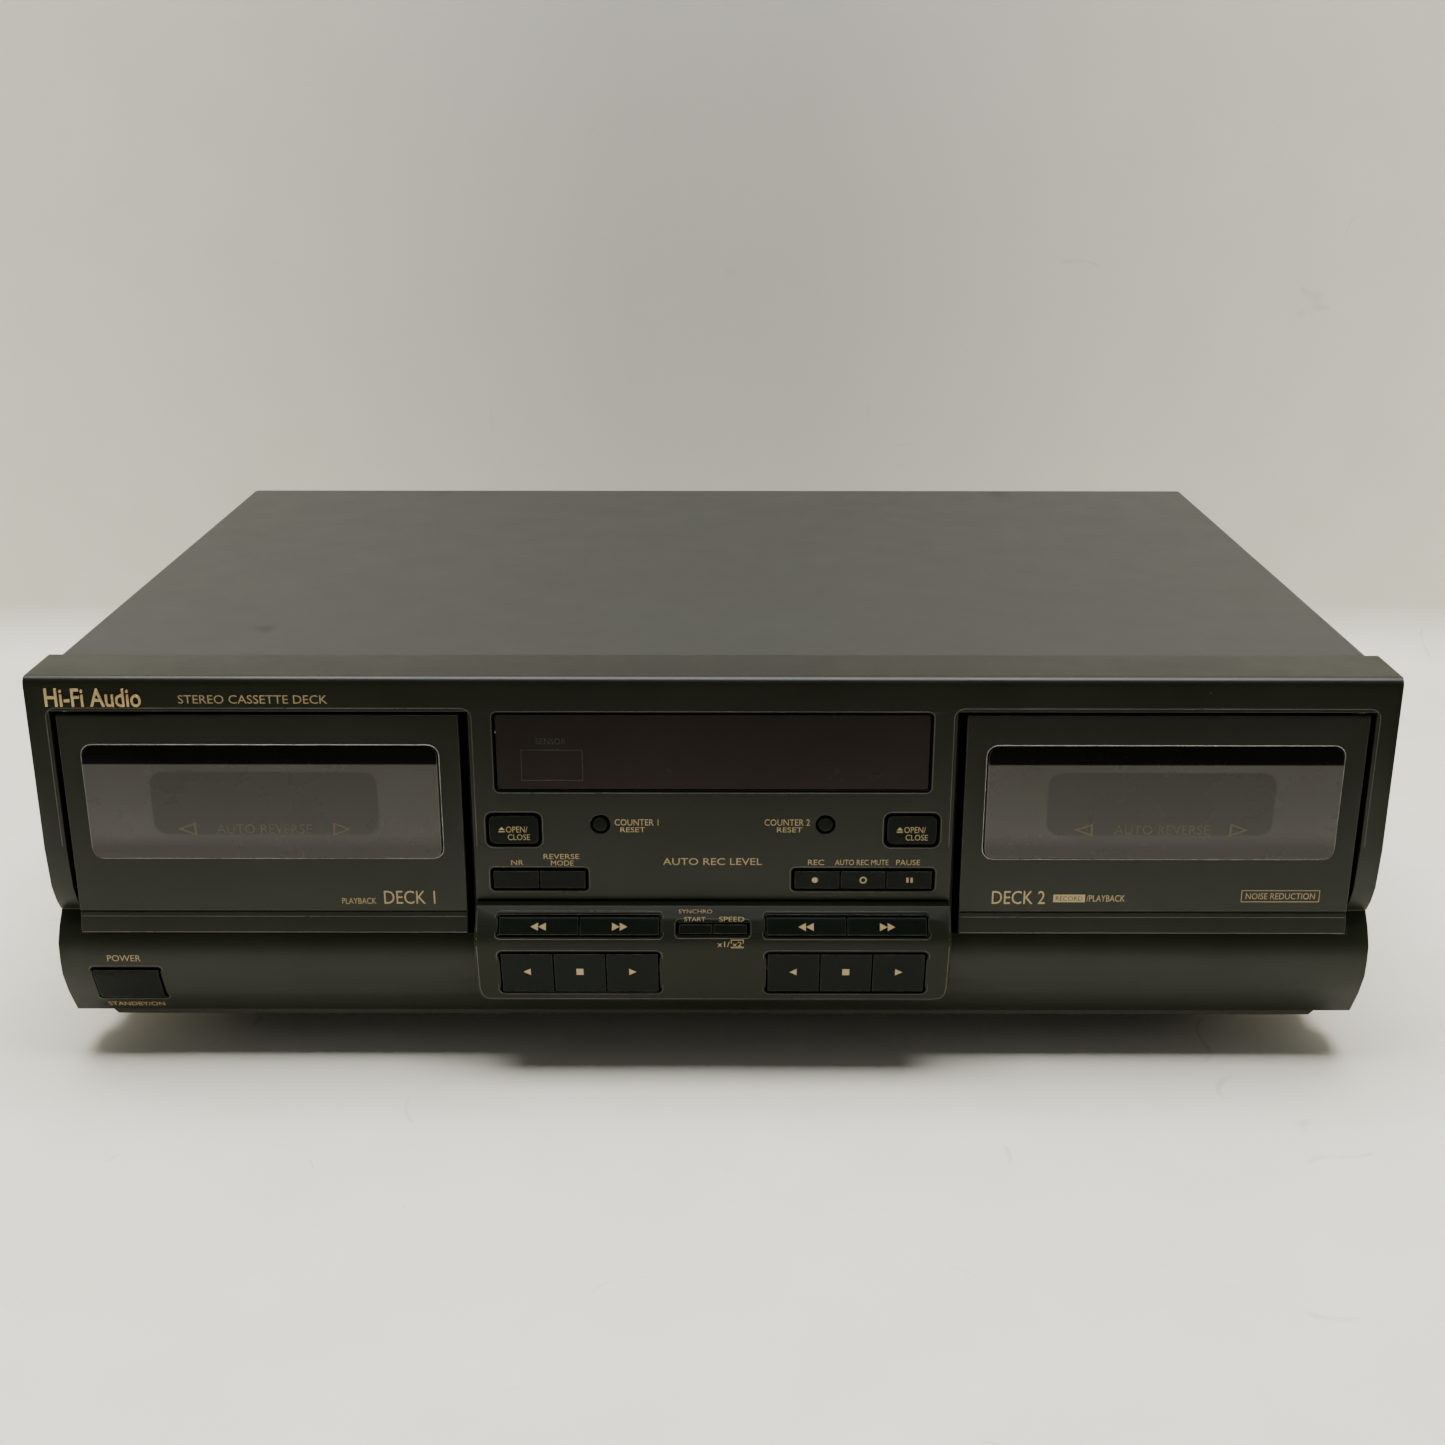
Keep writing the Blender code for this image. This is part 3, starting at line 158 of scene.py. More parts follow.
def surface(name, base, shade, rough, grain, depth, edge=None, wear_and_highlight_amount=0.0, dust=0.0, metal=0.0, coat=0.0,
            curve=0.3, gloss=0.5, paint=None):
    """A finish with cloudy tone, fine grain, softened edges lightened by wear and a painted highlight, and
    dust.

    base and shade are the two tones, rough the lowest and highest roughness, grain the size and depth the
    height of the texture in mm, edge the tone of rims lightened by wear and a painted highlight, and curve
    their radius in mm. paint may change the colour: it gets the tree, the place and the colour.
    """
    material = bpy.data.materials.new(name)
    material.use_nodes = True
    tree = material.node_tree
    shader = tree.nodes["Principled BSDF"]
    where = put(tree, "TexCoord").outputs["Object"]
    cloud = noise(tree, where, CLOUD, 4)
    fine = noise(tree, where, grain, 3, 0.6)
    tone = mix(tree, remap(tree, cloud, 0.35, 0.68), colour(base), colour(shade))
    tone = mix(tree, remap(tree, fine, 0.3, 0.7, 0.0, 0.22), tone, colour(shade))
    normal = put(tree, "Bevel", {"Radius": curve * MM}, samples=4).outputs[0]
    flat = put(tree, "NewGeometry").outputs["Normal"]
    if paint:
        tone = paint(tree, where, tone)
    # Lightened rims: partly real edge wear, partly a painted highlight on the rounded edges
    if edge:
        turned = put(tree, "VectorMath", {0: normal, 1: flat}, operation="DOT_PRODUCT").outputs["Value"]
        rim_wear_and_highlight = remap(tree, turned, *EDGE_TURN)
        patchy = remap(tree, noise(tree, where, WEAR_AND_HIGHLIGHT_PATCH, 3, 0.7), 0.38, 0.62)
        rim_wear_and_highlight = math_node(tree, "MULTIPLY", rim_wear_and_highlight, remap(tree, patchy, 0.0, 1.0, wear_and_highlight_amount * 0.35, wear_and_highlight_amount))
        tone = mix(tree, rim_wear_and_highlight, tone, colour(edge))
    if dust:
        cells = put(tree, "TexVoronoi", {"Vector": where, "Scale": 1 / (DUST_CELL * MM)})
        speck = math_node(tree, "LESS_THAN", cells.outputs["Distance"], DUST_RADIUS)
        chance = put(tree, "SeparateColor", {0: cells.outputs["Color"]}).outputs[0]
        kept = math_node(tree, "LESS_THAN", chance, dust)
        tone = mix(tree, math_node(tree, "MULTIPLY", speck, kept), tone, colour("A39C8C"))
    relief = {"Strength": 1.0, "Distance": depth * MM, "Height": fine, "Normal": normal}
    bump = put(tree, "Bump", relief).outputs[0]
    smear = remap(tree, noise(tree, where, SMEAR, 5, 0.6), 0.3, 0.7, *rough)
    for key, value in (("Base Color", tone), ("Roughness", smear), ("Normal", bump)):
        tree.links.new(value, shader.inputs[key])
    shader.inputs["Metallic"].default_value = metal
    shader.inputs["Specular IOR Level"].default_value = gloss
    shader.inputs["Coat Weight"].default_value = coat
    shader.inputs["Coat Roughness"].default_value = 0.12
    return material


# Finishes of pieces with a softly rounded edge, its width in mm, and the pieces where it differs
MOULDED = ("black_abs", "button_abs", "smoked_acrylic", "painted_steel")
MOULDED_EDGE, PLAIN_EDGE = 0.22, 0.08
OWN_EDGES = {"transport_panel": 0.18, "display_window": 0.15, "top_cover": 0.3, "front_fascia": 0.3}


def soften(node):
    """Rounds a node's edges and smooths the faces between them with modifiers alone."""
    mesh = node.data
    if "custom_normal" in mesh.attributes:
        mesh.attributes.remove(mesh.attributes["custom_normal"])
    mesh.polygons.foreach_set("use_smooth", np.ones(len(mesh.polygons), bool))
    node.modifiers.new("weld", "WELD").merge_threshold = 0.002 * MM
    moulded = mesh.materials[0].name.split(".")[0] in MOULDED
    bevel = node.modifiers.new("edge", "BEVEL")
    bevel.width = OWN_EDGES.get(node.name, MOULDED_EDGE if moulded else PLAIN_EDGE) * MM
    bevel.segments = 2 if moulded else 1
    bevel.limit_method = "ANGLE"
    bevel.angle_limit = math.radians(32)
    bevel.use_clamp_overlap = False
    node.modifiers.new("even", "WEIGHTED_NORMAL").keep_sharp = False


# ---------------------------------------------------------------- finishes
# On each lens: the clear patch's middle (x, down), half size and corner, the heights (down) that the foot
# darkens between, and the lower edge of the painted dark reflection at its top
PATCH_MIDDLE, PATCH_HALF, PATCH_CORNER = (142.2, 41.5), (36, 10.7), 4.5
FOOT_SHADE = (52, 57)
DARK_REFLECTION_EDGE = (28.5, 28.1)


def lens_tint(tree, where, tone):
    """The cassette window is a clear patch in the tinted lens, and the sloped top is painted black as a dark
    reflection.
    """
    centre = (PATCH_MIDDLE[0] * MM, TOP_Z - PATCH_MIDDLE[1] * MM)
    half = [reach * MM for reach in PATCH_HALF]
    away = rounded_box(tree, where, centre, half, PATCH_CORNER * MM)
    tone = mix(tree, remap(tree, away, 0.0003, -0.0003), tone, colour("2F2E29"))
    height = put(tree, "SeparateXYZ", {0: where}).outputs[2]
    # 060605 is a painted dark reflection across the lens's sloped top
    for levels, shade in ((FOOT_SHADE, "2C2A26"), (DARK_REFLECTION_EDGE, "060605")):
        tone = mix(tree, remap(tree, height, *(TOP_Z - down * MM for down in levels)), tone, colour(shade))
    return tone


def copper_tracks(tree, where, tone):
    """Copper tracks under green lacquer, as cell borders that run square to one another."""
    cells = put(tree, "TexVoronoi", {"Vector": where, "Scale": 1 / (7 * MM)}, distance="MANHATTAN")
    track = remap(tree, math_node(tree, "PINGPONG", cells.outputs["Distance"], 0.16), 0.06, 0.08)
    return mix(tree, track, tone, colour("7A6A2E"))


def winding(tree, where, tone):
    """Stacked laminations: thin dark lines between the steel sheets."""
    sheets = math_node(tree, "PINGPONG", put(tree, "SeparateXYZ", {0: where}).outputs[1], 0.35 * MM)
    return mix(tree, remap(tree, sheets, 0.0, 0.1 * MM), colour("141414"), tone)


# Two rubbed patches at the cover's rear edge and one near its front left: x, back, reach
COVER_MARKS = ((-126, 273, 5.0), (127, 273, 6.0), (-153, 55, 4.0))


def cover_marks(tree, where, tone):
    """Dark patches with ragged edges, where the enamel is rubbed."""
    for x, back, reach in COVER_MARKS:
        px, py, _ = place(x, back, 0)
        centre = (px, py, COVER_TOP)
        away = put(tree, "VectorMath", {0: where, 1: centre}, operation="DISTANCE").outputs["Value"]
        spread = math_node(tree, "MULTIPLY", noise(tree, where, 2.2, 3, 0.7), 2 * reach * MM)
        mark = remap(tree, math_node(tree, "SUBTRACT", away, spread), 0.0, -0.8 * MM)
        tone = mix(tree, mark, tone, colour("12110E"))
    return tone


FINISHES = {}


def finish(name, *values, **more):
    """The surface for the frame's material slot of this name."""
    FINISHES[name] = surface(name, *values, **more)


# Injection-moulded ABS with a fine spark-eroded texture
finish("black_abs", "13150D", "10120A", (0.32, 0.4), 0.16, 0.012, "6A655A", 0.6, 0.05, gloss=0.26)
# Smoother moulded ABS, polished by fingers
finish("button_abs", "0C0F0B", "090B08", (0.22, 0.32), 0.12, 0.004, "5A584E", 0.6, 0.03,
       curve=0.35, gloss=0.06)
# Smoked acrylic sheet, tinted right through and printed behind
finish("smoked_acrylic", "3B3935", "36342F", (0.24, 0.32), 0.5, 0.001, "A9A595", 0.8, 0.1,
       gloss=0.18, curve=0.25, paint=lens_tint)
# Satin baked enamel on sheet steel
finish("painted_steel", "20211E", "1F201B", (0.44, 0.48), 0.3, 0.012, "6E6A60", 0.5, 0.12,
       curve=0.5, gloss=0.35, paint=cover_marks)
# Bright zinc plate, passivated, on pressed steel
finish("zinc_steel", "9C9A91", "8F8D84", (0.34, 0.44), 2.2, 0.003, "A9A79E", 0.1, 0.0, metal=1.0)
# Moulded black rubber
finish("rubber", "1C1B1A", "232221", (0.6, 0.75), 0.25, 0.01, "3A3936", 0.5, 0.2, curve=0.5)
# Natural moulded nylon
finish("nylon", "1E1E1C", "282724", (0.35, 0.48), 0.4, 0.004, "4A4842", 0.4)
# Turned brass
finish("brass", "B08D4A", "9C7A3C", (0.22, 0.36), 0.2, 0.002, "D9BC7A", 0.4, metal=1.0)
# Phenolic paper board with lacquered copper tracks
finish("phenolic_board", "3E5A30", "36502A", (0.3, 0.4), 0.6, 0.004, "8A6A3A", 0.4,
       paint=copper_tracks)
# Smoked glass of the display tube
finish("tube_glass", "16201F", "1B2423", (0.05, 0.1), 1.0, 0.0005, "6F8582", 0.4, coat=0.5)
# Varnished laminated steel
finish("lamination_steel", "5B5348", "4C453B", (0.4, 0.55), 0.5, 0.01, "8A8072", 0.4,
       metal=0.7, paint=winding)
# Gold screen print, matt
PRINT = surface("gold_screen_print", "7E6D4A", "6F6041", (0.5, 0.6), 0.2, 0.002)
# Faded gold print under the lens
GHOST = surface("gold_print_behind_lens", "3E3724", "352F1F", (0.3, 0.4), 0.2, 0.001)
# Hot-stamped metallic gold foil
FOIL = surface("gold_foil", "C9B07A", "B89C66", (0.25, 0.36), 0.2, 0.002, metal=0.6)
# Dark screen print that only shows as a change of gloss
SHADOW_PRINT = surface("dark_screen_print", "1F1A17", "1C1814", (0.3, 0.4), 0.2, 0.001)
# Black screen print on steel
BLACK_PRINT = surface("black_screen_print", "191816", "22211E", (0.5, 0.6), 0.2, 0.002)

for node in NODES.values():
    for slot in node.material_slots:
        slot.material = FINISHES[slot.material.name.split(".")[0]]
    soften(node)
OWN_FINISHES = {
    # Smoked acrylic sheet without the lens's painted dark reflection band
    "display_window": surface("display_acrylic", "1C1714", "191512", (0.2, 0.28), 0.6, 0.001, "8A8478", 0.5,
                              0.05, gloss=0.12, curve=0.2),
    # Injection-moulded ABS from a mould with a duller face than the fascia's
    "transport_panel": surface("panel_abs", "13150D", "10120A", (0.36, 0.44), 0.16, 0.012, "6A655A", 0.6,
                               0.05, gloss=0.13),
}
for name, material in OWN_FINISHES.items():
    for slot in NODES[name].material_slots:
        slot.material = material


# ---------------------------------------------------------------- printing
TREES = {}


def hit_depth(node, x, z, side):
    """How far back a CAD node's skin is at (x, z), seen from the front (side 1) or the rear (side -1)."""
    if node not in TREES:
        mesh = NODES[node].data
        points = [v.co.copy() for v in mesh.vertices]
        TREES[node] = BVHTree.FromPolygons(points, [tuple(p.vertices) for p in mesh.polygons])
    found = TREES[node].ray_cast(Vector((x, -side, z)), Vector((0, side, 0)))[0]
    return None if found is None else found.y


def laid_on(name, curve, x, down, on, material, side=1, raised=INK):
    """Turns a flat curve into a thin solid, fits it to x and down, and lays it on a CAD node's skin."""
    curve.dimensions = "2D"
    curve.fill_mode = "BOTH"
    curve.extrude = 0.5
    holder = bpy.data.objects.new(name, curve)
    bpy.context.scene.collection.objects.link(holder)
    bpy.context.view_layer.update()
    mesh = bpy.data.meshes.new_from_object(holder.evaluated_get(bpy.context.evaluated_depsgraph_get()))
    bpy.data.objects.remove(holder)
    points = np.empty(len(mesh.vertices) * 3)
    mesh.vertices.foreach_get("co", points)
    points = points.reshape(-1, 3)
    low, high = points.min(axis=0), points.max(axis=0)
    u = (points[:, 0] - low[0]) / (high[0] - low[0])
    v = (points[:, 1] - low[1]) / (high[1] - low[1])
    if side < 0:
        u = 1 - u
    px = (x[0] + u * (x[1] - x[0])) * MM
    pz = TOP_Z - (down[1] + v * (down[0] - down[1])) * MM
    skin = [hit_depth(on, a, c, side) for a, c in zip(px, pz)]
    known = [s for s in skin if s is not None]
    middle = sorted(known)[len(known) // 2]
    depth = np.array([middle if s is None else s for s in skin])
    if on == "transport_panel":
        depth[:] = min(known)
    out = (points[:, 2] - low[2]) / (high[2] - low[2])
    lift = CURVED_LIFT if np.ptp(depth) > 0.05 * MM else LIFT
    py = depth - side * (lift + out * raised) * MM
    mesh.vertices.foreach_set("co", np.column_stack((px, py, pz)).ravel())
    mesh.update()
    mesh.name = name
    mesh.materials.clear()
    mesh.materials.append(material)
    piece = bpy.data.objects.new(name, mesh)
    bpy.context.scene.collection.objects.link(piece)
    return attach(piece, NODES[on]["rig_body"])


def words(name, text, x, down, on, material=PRINT, side=1, raised=INK, weight=0.0):
    """Printed words, fitted to their place."""
    curve = bpy.data.curves.new(name, "FONT")
    curve.body = text
    curve.offset = weight
    curve.resolution_u = 3
    curve.align_x = "CENTER"
    return laid_on(name, curve, x, down, on, material, side, raised)


def shape(name, loops, x, down, on, material=PRINT, side=1, raised=INK):
    """A printed symbol from closed loops of (across, up); a loop inside another is a hole."""
    curve = bpy.data.curves.new(name, "CURVE")
    for loop in loops:
        spline = curve.splines.new("POLY")
        spline.points.add(len(loop) - 1)
        for point, (a, b) in zip(spline.points, loop):
            point.co = (a, b, 0, 1)
        spline.use_cyclic_u = True
    return laid_on(name, curve, x, down, on, material, side, raised)


def circle(radius, count=20):
    turns = np.linspace(0, 2 * np.pi, count, endpoint=False)
    return [(radius * math.cos(t), radius * math.sin(t)) for t in turns]


def outline(width, height, line):
    """A rectangular frame with this line width."""
    outer = [(0, 0), (width, 0), (width, height), (0, height)]
    inner = [(line, line), (width - line, line), (width - line, height - line), (line, height - line)]
    return [outer, inner]


# Symbols as closed loops of (across, up)
LEFT = [[(1, 0), (1, 1), (0, 0.5)]]
RIGHT = [[(0, 0), (1, 0.5), (0, 1)]]
TWICE_LEFT = [[(1, 0), (1, 1), (0, 0.5)], [(2, 0), (2, 1), (1, 0.5)]]
TWICE_RIGHT = [[(0, 0), (1, 0.5), (0, 1)], [(1, 0), (2, 0.5), (1, 1)]]
SQUARE = [[(0, 0), (1, 0), (1, 1), (0, 1)]]
BARS = [[(0, 0), (0.36, 0), (0.36, 1), (0, 1)], [(0.64, 0), (1, 0), (1, 1), (0.64, 1)]]
EJECT = [[(0, 0), (1, 0), (1, 0.22), (0, 0.22)], [(0, 0.42), (1, 0.42), (0.5, 1)]]
OPEN_LEFT = [[(1, 0), (1, 1), (0, 0.5)], [(0.86, 0.2), (0.86, 0.8), (0.28, 0.5)]]
OPEN_RIGHT = [[(0, 0), (1, 0.5), (0, 1)], [(0.14, 0.2), (0.72, 0.5), (0.14, 0.8)]]

words("badge", "Hi-Fi Audio", (-208.4, -178.4), (3.6, 9.6), "front_fascia", FOIL, raised=0.5, weight=0.008)
# Name, text, left and right, top and foot
FACE_WORDS = (
    ("title", "STEREO CASSETTE DECK", (-166.9, -120.3), (5.8, 8.6)),
    ("counter_1_label", "COUNTER 1", (-31.4, -17.4), (47.4, 49.6)),
    ("counter_1_reset_label", "RESET", (-29.6, -21.7), (50.2, 51.9)),
    ("counter_2_label", "COUNTER 2", (16.5, 31), (47.4, 49.6)),
    ("counter_2_reset_label", "RESET", (20.5, 28.6), (50.2, 51.9)),
    ("nr_label", "NR", (-65, -61), (61.7, 63.4)),
    ("reverse_label", "REVERSE", (-54.5, -43), (59.5, 61.3)),
    ("mode_label", "MODE", (-52.2, -44.9), (61.8, 63.6)),
    ("level_label", "AUTO REC LEVEL", (-16.1, 15.8), (60.9, 63.3)),
    ("rec_label", "REC", (30.6, 35.8), (61.4, 63.3)),
    ("mute_label", "AUTO REC MUTE", (39.3, 56.5), (61.4, 63.3)),
    ("pause_label", "PAUSE", (59, 66.7), (61.4, 63.3)),
    ("power_label", "POWER", (-199.3, -188.3), (96.1, 98.3)),
    ("standby_label", "STANDBY/ON", (-203.4, -184.6), (116.8, 118.9)),
)
for name, text, x, down in FACE_WORDS:
    words(name, text, x, down, "front_fascia")
words("synchro_label", "SYNCHRO", (-11, -0.2), (76.6, 78), "transport_panel")
words("start_label", "START", (-9.2, -2.4), (78.3, 79.9), "transport_panel")
words("speed_label", "SPEED", (2, 10.1), (78.2, 79.9), "transport_panel")
words("speed_one", "x1/", (1.5, 5.4), (85.3, 87.2), "transport_panel")
words("speed_two", "x2", (6.3, 9.3), (85.4, 87.1), "transport_panel")
shape("speed_two_frame", outline(4, 2.8, 0.25), (5.8, 9.9), (84.7, 87.7), "transport_panel")
words("sensor_label", "SENSOR", (-55.8, -46.3), (20.2, 22.2), "display_window", SHADOW_PRINT)
shape("sensor_frame", outline(19.6, 10.5, 0.3), (-60.7, -41.1), (24, 34.5), "display_window", SHADOW_PRINT)

for deck, sign in (("1", -1), ("2", 1)):
    button = f"open_close_button_{deck}"
    left = sign * 63.7 - 4.9
    shape(f"eject_mark_{deck}", EJECT, (left, left + 2), (50, 51.9), button)
    words(f"open_label_{deck}", "OPEN/", (left + 2.4, left + 9.3), (49.9, 52), button)
    words(f"close_label_{deck}", "CLOSE", (left + 2.9, left + 10), (52.6, 54.6), button)
    middle = sign * 43
    for button, x, loops, wide, tall, down in (
        ("rewind_button", middle - 13.1, TWICE_LEFT, 5, 2.2, 81.2),
        ("fast_forward_button", middle + 13.1, TWICE_RIGHT, 5, 2.2, 81.2),
        ("play_reverse_button", middle - 17.1, LEFT, 2.4, 2.7, 97),
        ("stop_button", middle, SQUARE, 2.3, 2.5, 97),
        ("play_button", middle + 17.1, RIGHT, 2.4, 2.7, 97),
    ):
        across, drop = (x - wide / 2, x + wide / 2), (down - tall / 2, down + tall / 2)
        shape(f"{button}_{deck}_mark", loops, across, drop, f"{button}_{deck}")
    lens = f"door_window_{deck}"
    x = sign * 143.1
    words(f"auto_reverse_{deck}", "AUTO REVERSE", (x - 15.2, x + 15.2), (48.6, 51.8), lens, GHOST)
    for way, side, loops in (("left", -1, OPEN_LEFT), ("right", 1, OPEN_RIGHT)):
        x = sign * 142.9 + side * 24.8
        shape(f"reverse_arrow_{deck}_{way}", loops, (x - 3.1, x + 3.1), (47.9, 52.6), lens, GHOST)
shape("record_mark", [circle(1)], (31.9, 33.9), (67.4, 69.4), "record_button")
shape("mute_mark", [circle(1), circle(0.6)], (47.3, 49.7), (67.2, 69.6), "record_mute_button")
shape("pause_mark", BARS, (62.4, 64.5), (67.5, 69.3), "pause_button")
words("playback_label", "PLAYBACK", (-120.4, -109.3), (75.1, 77.2), "door_frame_1")
words("deck_1_label", "DECK 1", (-106.7, -90.1), (72.5, 77.2), "door_frame_1")
words("deck_2_label", "DECK 2", (90.4, 107.6), (72.3, 77), "door_frame_2")
shape("record_patch", SQUARE, (110.3, 120.6), (73.6, 76.3), "door_frame_2")
# RECORD is left open in its gold patch, so the moulding shows through
MOULDING = FINISHES["black_abs"]
words("record_label", "RECORD", (111.1, 119.8), (74.2, 75.8), "door_frame_2", MOULDING, raised=0.06)
words("slash_playback_label", "/PLAYBACK", (121.1, 133.5), (73.8, 76.1), "door_frame_2")
words("noise_reduction_label", "NOISE REDUCTION", (172.6, 195), (73, 75.2), "door_frame_2")
shape("noise_reduction_frame", outline(25.4, 4.2, 0.25), (171.1, 196.5), (72, 76.2), "door_frame_2")


def solid(name, points, faces, material, body):
    """A new piece from whole arrays of points and faces, already in its place in the frame."""
    mesh = bpy.data.meshes.new(name)
    mesh.from_pydata([tuple(p) for p in points], [], [tuple(f) for f in faces])
    mesh.update()
    mesh.polygons.foreach_set("use_smooth", np.ones(len(mesh.polygons), bool))
    mesh.set_sharp_from_angle(angle=math.radians(38))
    mesh.materials.append(material)
    piece = bpy.data.objects.new(name, mesh)
    bpy.context.scene.collection.objects.link(piece)
    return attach(piece, body)


def tube_ring(name, path, section, material, body, closed=True):
    """Sweeps a section along a path in the plane of the face.

    point(i, j) = path[i] + normal[i] * section[j, 0] + y * section[j, 1]
    """
    if closed:
        ahead = np.roll(path, -1, axis=0) - np.roll(path, 1, axis=0)
    else:
        ahead = np.gradient(path, axis=0)
    ahead /= np.linalg.norm(ahead, axis=1)[:, None]
    out = np.column_stack((-ahead[:, 2], np.zeros(len(path)), ahead[:, 0]))
    across = out[:, None, :] * section[None, :, :1]
    points = path[:, None, :] + across + np.array([0, 1, 0]) * section[None, :, 1:]
    rows, count = len(path), len(section)
    steps = rows if closed else rows - 1
    faces = [(i * count + j, (i + 1) % rows * count + j, (i + 1) % rows * count + (j + 1) % count,
              i * count + (j + 1) % count) for i in range(steps) for j in range(count)]
    if not closed:
        faces += [tuple(range(count)), tuple(reversed(range((rows - 1) * count, rows * count)))]
    return solid(name, points.reshape(-1, 3), faces, material, body)


def rounded_path(centre, half, radius, back, steps=7):
    """Points round a rounded rectangle in the plane of the face, in metres."""
    path = []
    for quarter, (sx, sz) in enumerate(((1, 1), (-1, 1), (-1, -1), (1, -1))):
        for turn in np.linspace(0, math.pi / 2, steps):
            angle = turn + quarter * math.pi / 2
            path.append(place(centre[0] + sx * (half[0] - radius) + radius * math.cos(angle), back,
                              centre[1] - sz * (half[1] - radius) - radius * math.sin(angle)))
    return np.array(path)


def diamond(reach, rise):
    """A four-sided section: half-width and half-height in mm."""
    return np.array([(reach, 0), (0, rise), (-reach, 0), (0, -rise)]) * MM


def screw_heads(name, places, outward, body, radius=2.9):
    """Pan heads with a sunk cross.

    Each is z(r, t) = 1.5 sqrt(1 - 0.75 r^2), r from 0 to 1, less 0.9 where r < 0.6 and |r sin t| or
    |r cos t| is under 0.14.
    """
    ring = np.array([0.12, 0.26, 0.4, 0.56, 0.75, 0.92, 1.0, 1.0])
    count = 24
    turn = np.linspace(0, 2 * np.pi, count, endpoint=False)
    u, v = np.outer(ring, np.cos(turn)), np.outer(ring, np.sin(turn))
    high = 1.5 * np.sqrt(1 - 0.75 * ring**2)[:, None] * np.ones(count)
    sunk = (np.minimum(abs(u), abs(v)) < 0.14) & (ring[:, None] < 0.6)
    high = high - 0.9 * sunk
    high[-1] = -0.2
    head = np.column_stack((u.ravel() * radius, v.ravel() * radius, high.ravel()))
    outward = np.array(outward, float)
    side = np.cross((0, 0, 1) if abs(outward[2]) < 0.5 else (0, 1, 0), outward)
    up = np.cross(outward, side)
    points, faces = [], []
    for x, back, down in places:
        start = len(points)
        centre = np.array(place(x, back, down))
        points.extend(centre + (head[:, :1] * side + head[:, 1:2] * up + head[:, 2:] * outward) * MM)
        for i in range(len(ring) - 1):
            near, far = start + i * count, start + (i + 1) * count
            for j in range(count):
                k = (j + 1) % count
                faces.append([near + j, far + j, far + k, near + k])
        faces.append([start + j for j in range(count)])
        faces.append([start + (len(ring) - 1) * count + j for j in reversed(range(count))])
    return solid(name, points, faces, SCREW, body)


BODY = NODES["top_cover"]["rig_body"]
# Black-zinc plated screw steel
SCREW = surface("black_zinc_screws", "2A2926", "211F1C", (0.25, 0.4), 0.3, 0.003, "8D8A80", 0.6, metal=0.8)
# Polished acrylic edge, pale as a painted highlight along the lens's rim
LENS_RIM_HIGHLIGHT = surface("acrylic_edge_painted_highlight", "6E6A60", "35332D", (0.15, 0.25), 0.35, 0.004, "C8C4B8", 0.9, 0.0)
LENS_DOWN, LENS_HALF, LENS_CORNER = 41.7, (56.45, 19.45), 3.6
for deck, middle in DECKS.items():
    path = rounded_path((middle, LENS_DOWN), LENS_HALF, LENS_CORNER, 0.0)
    body = NODES[f"door_window_{deck}"]["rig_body"]
    # A painted highlight round each lens
    tube_ring(f"lens_edge_highlight_{deck}", path, diamond(0.16, 0.22), LENS_RIM_HIGHLIGHT, body)


FINE_LINE, LINE = diamond(0.13, 0.07), diamond(0.15, 0.08)


def slot_edge(name, box, radius, on, gap=0.25, lip=0.9):
    """A painted shade line in the gap round a slot and a painted highlight on the moulded lip outside it,
    laid on a CAD node's skin.
    """
    x, down = (box[0] + box[1]) / 2, (box[2] + box[3]) / 2
    half = ((box[1] - box[0]) / 2, (box[3] - box[2]) / 2)
    for part, out, section, material in (
        ("gap", gap, diamond(0.3, 0.03), GAP_PAINTED_SHADE),
        ("lip", lip, FINE_LINE, LIP_HIGHLIGHT),
    ):
        path = rounded_path((x, down), (half[0] + out, half[1] + out), radius + out, 0.0, 5)
        skin = [hit_depth(on, px, pz, 1) for px, _, pz in path]
        known = sorted(s for s in skin if s is not None)
        path[:, 1] = [known[len(known) // 2] if s is None else s for s in skin]
        tube_ring(f"{name}_{part}", path, section, material, NODES[on]["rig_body"])


# Painted shade: black where the gap round a cap is unlit
GAP_PAINTED_SHADE = surface("gap_black", "050504", "040403", (0.6, 0.7), 0.2, 0.002, gloss=0.0)
# Polished moulded lip, pale as a painted highlight
LIP_HIGHLIGHT = surface("moulded_lip_painted_highlight", "4A483E", "2E2D26", (0.25, 0.35), 0.2, 0.002, gloss=0.5)
# Name, box as left, right, top and foot, corner radius, and the moulding the slot is in
SLOTS = (
    ("display", (-68.7, 68.7, 12, 37.6), 1.0, "front_fascia"),
    ("open_close_1", (-72.1, -55.3, 45.8, 56.5), 1.8, "front_fascia"),
    ("open_close_2", (55.3, 72.1, 45.8, 56.5), 1.8, "front_fascia"),
    ("mode_pair", (-71.3, -40.7, 64.9, 71.9), 0.8, "front_fascia"),
    ("record_trio", (25.8, 71.1, 64.9, 71.9), 0.8, "front_fascia"),
    ("wind_pair_1", (-69.2, -16.8, 78.4, 84), 0.6, "transport_panel"),
    ("wind_pair_2", (16.8, 69.2, 78.4, 84), 0.6, "transport_panel"),
    ("play_trio_1", (-68.9, -17.2, 89.6, 105.6), 1.2, "transport_panel"),
    ("play_trio_2", (17.2, 68.9, 89.6, 105.6), 1.2, "transport_panel"),
    ("dub_pair", (-11.4, 11.4, 80.2, 83.7), 0.6, "transport_panel"),
    ("power", (-205, -182.5, 101, 114.4), 0.8, "front_fascia"),
)
for name, box, radius, on in SLOTS:
    slot_edge(name, box, radius, on)
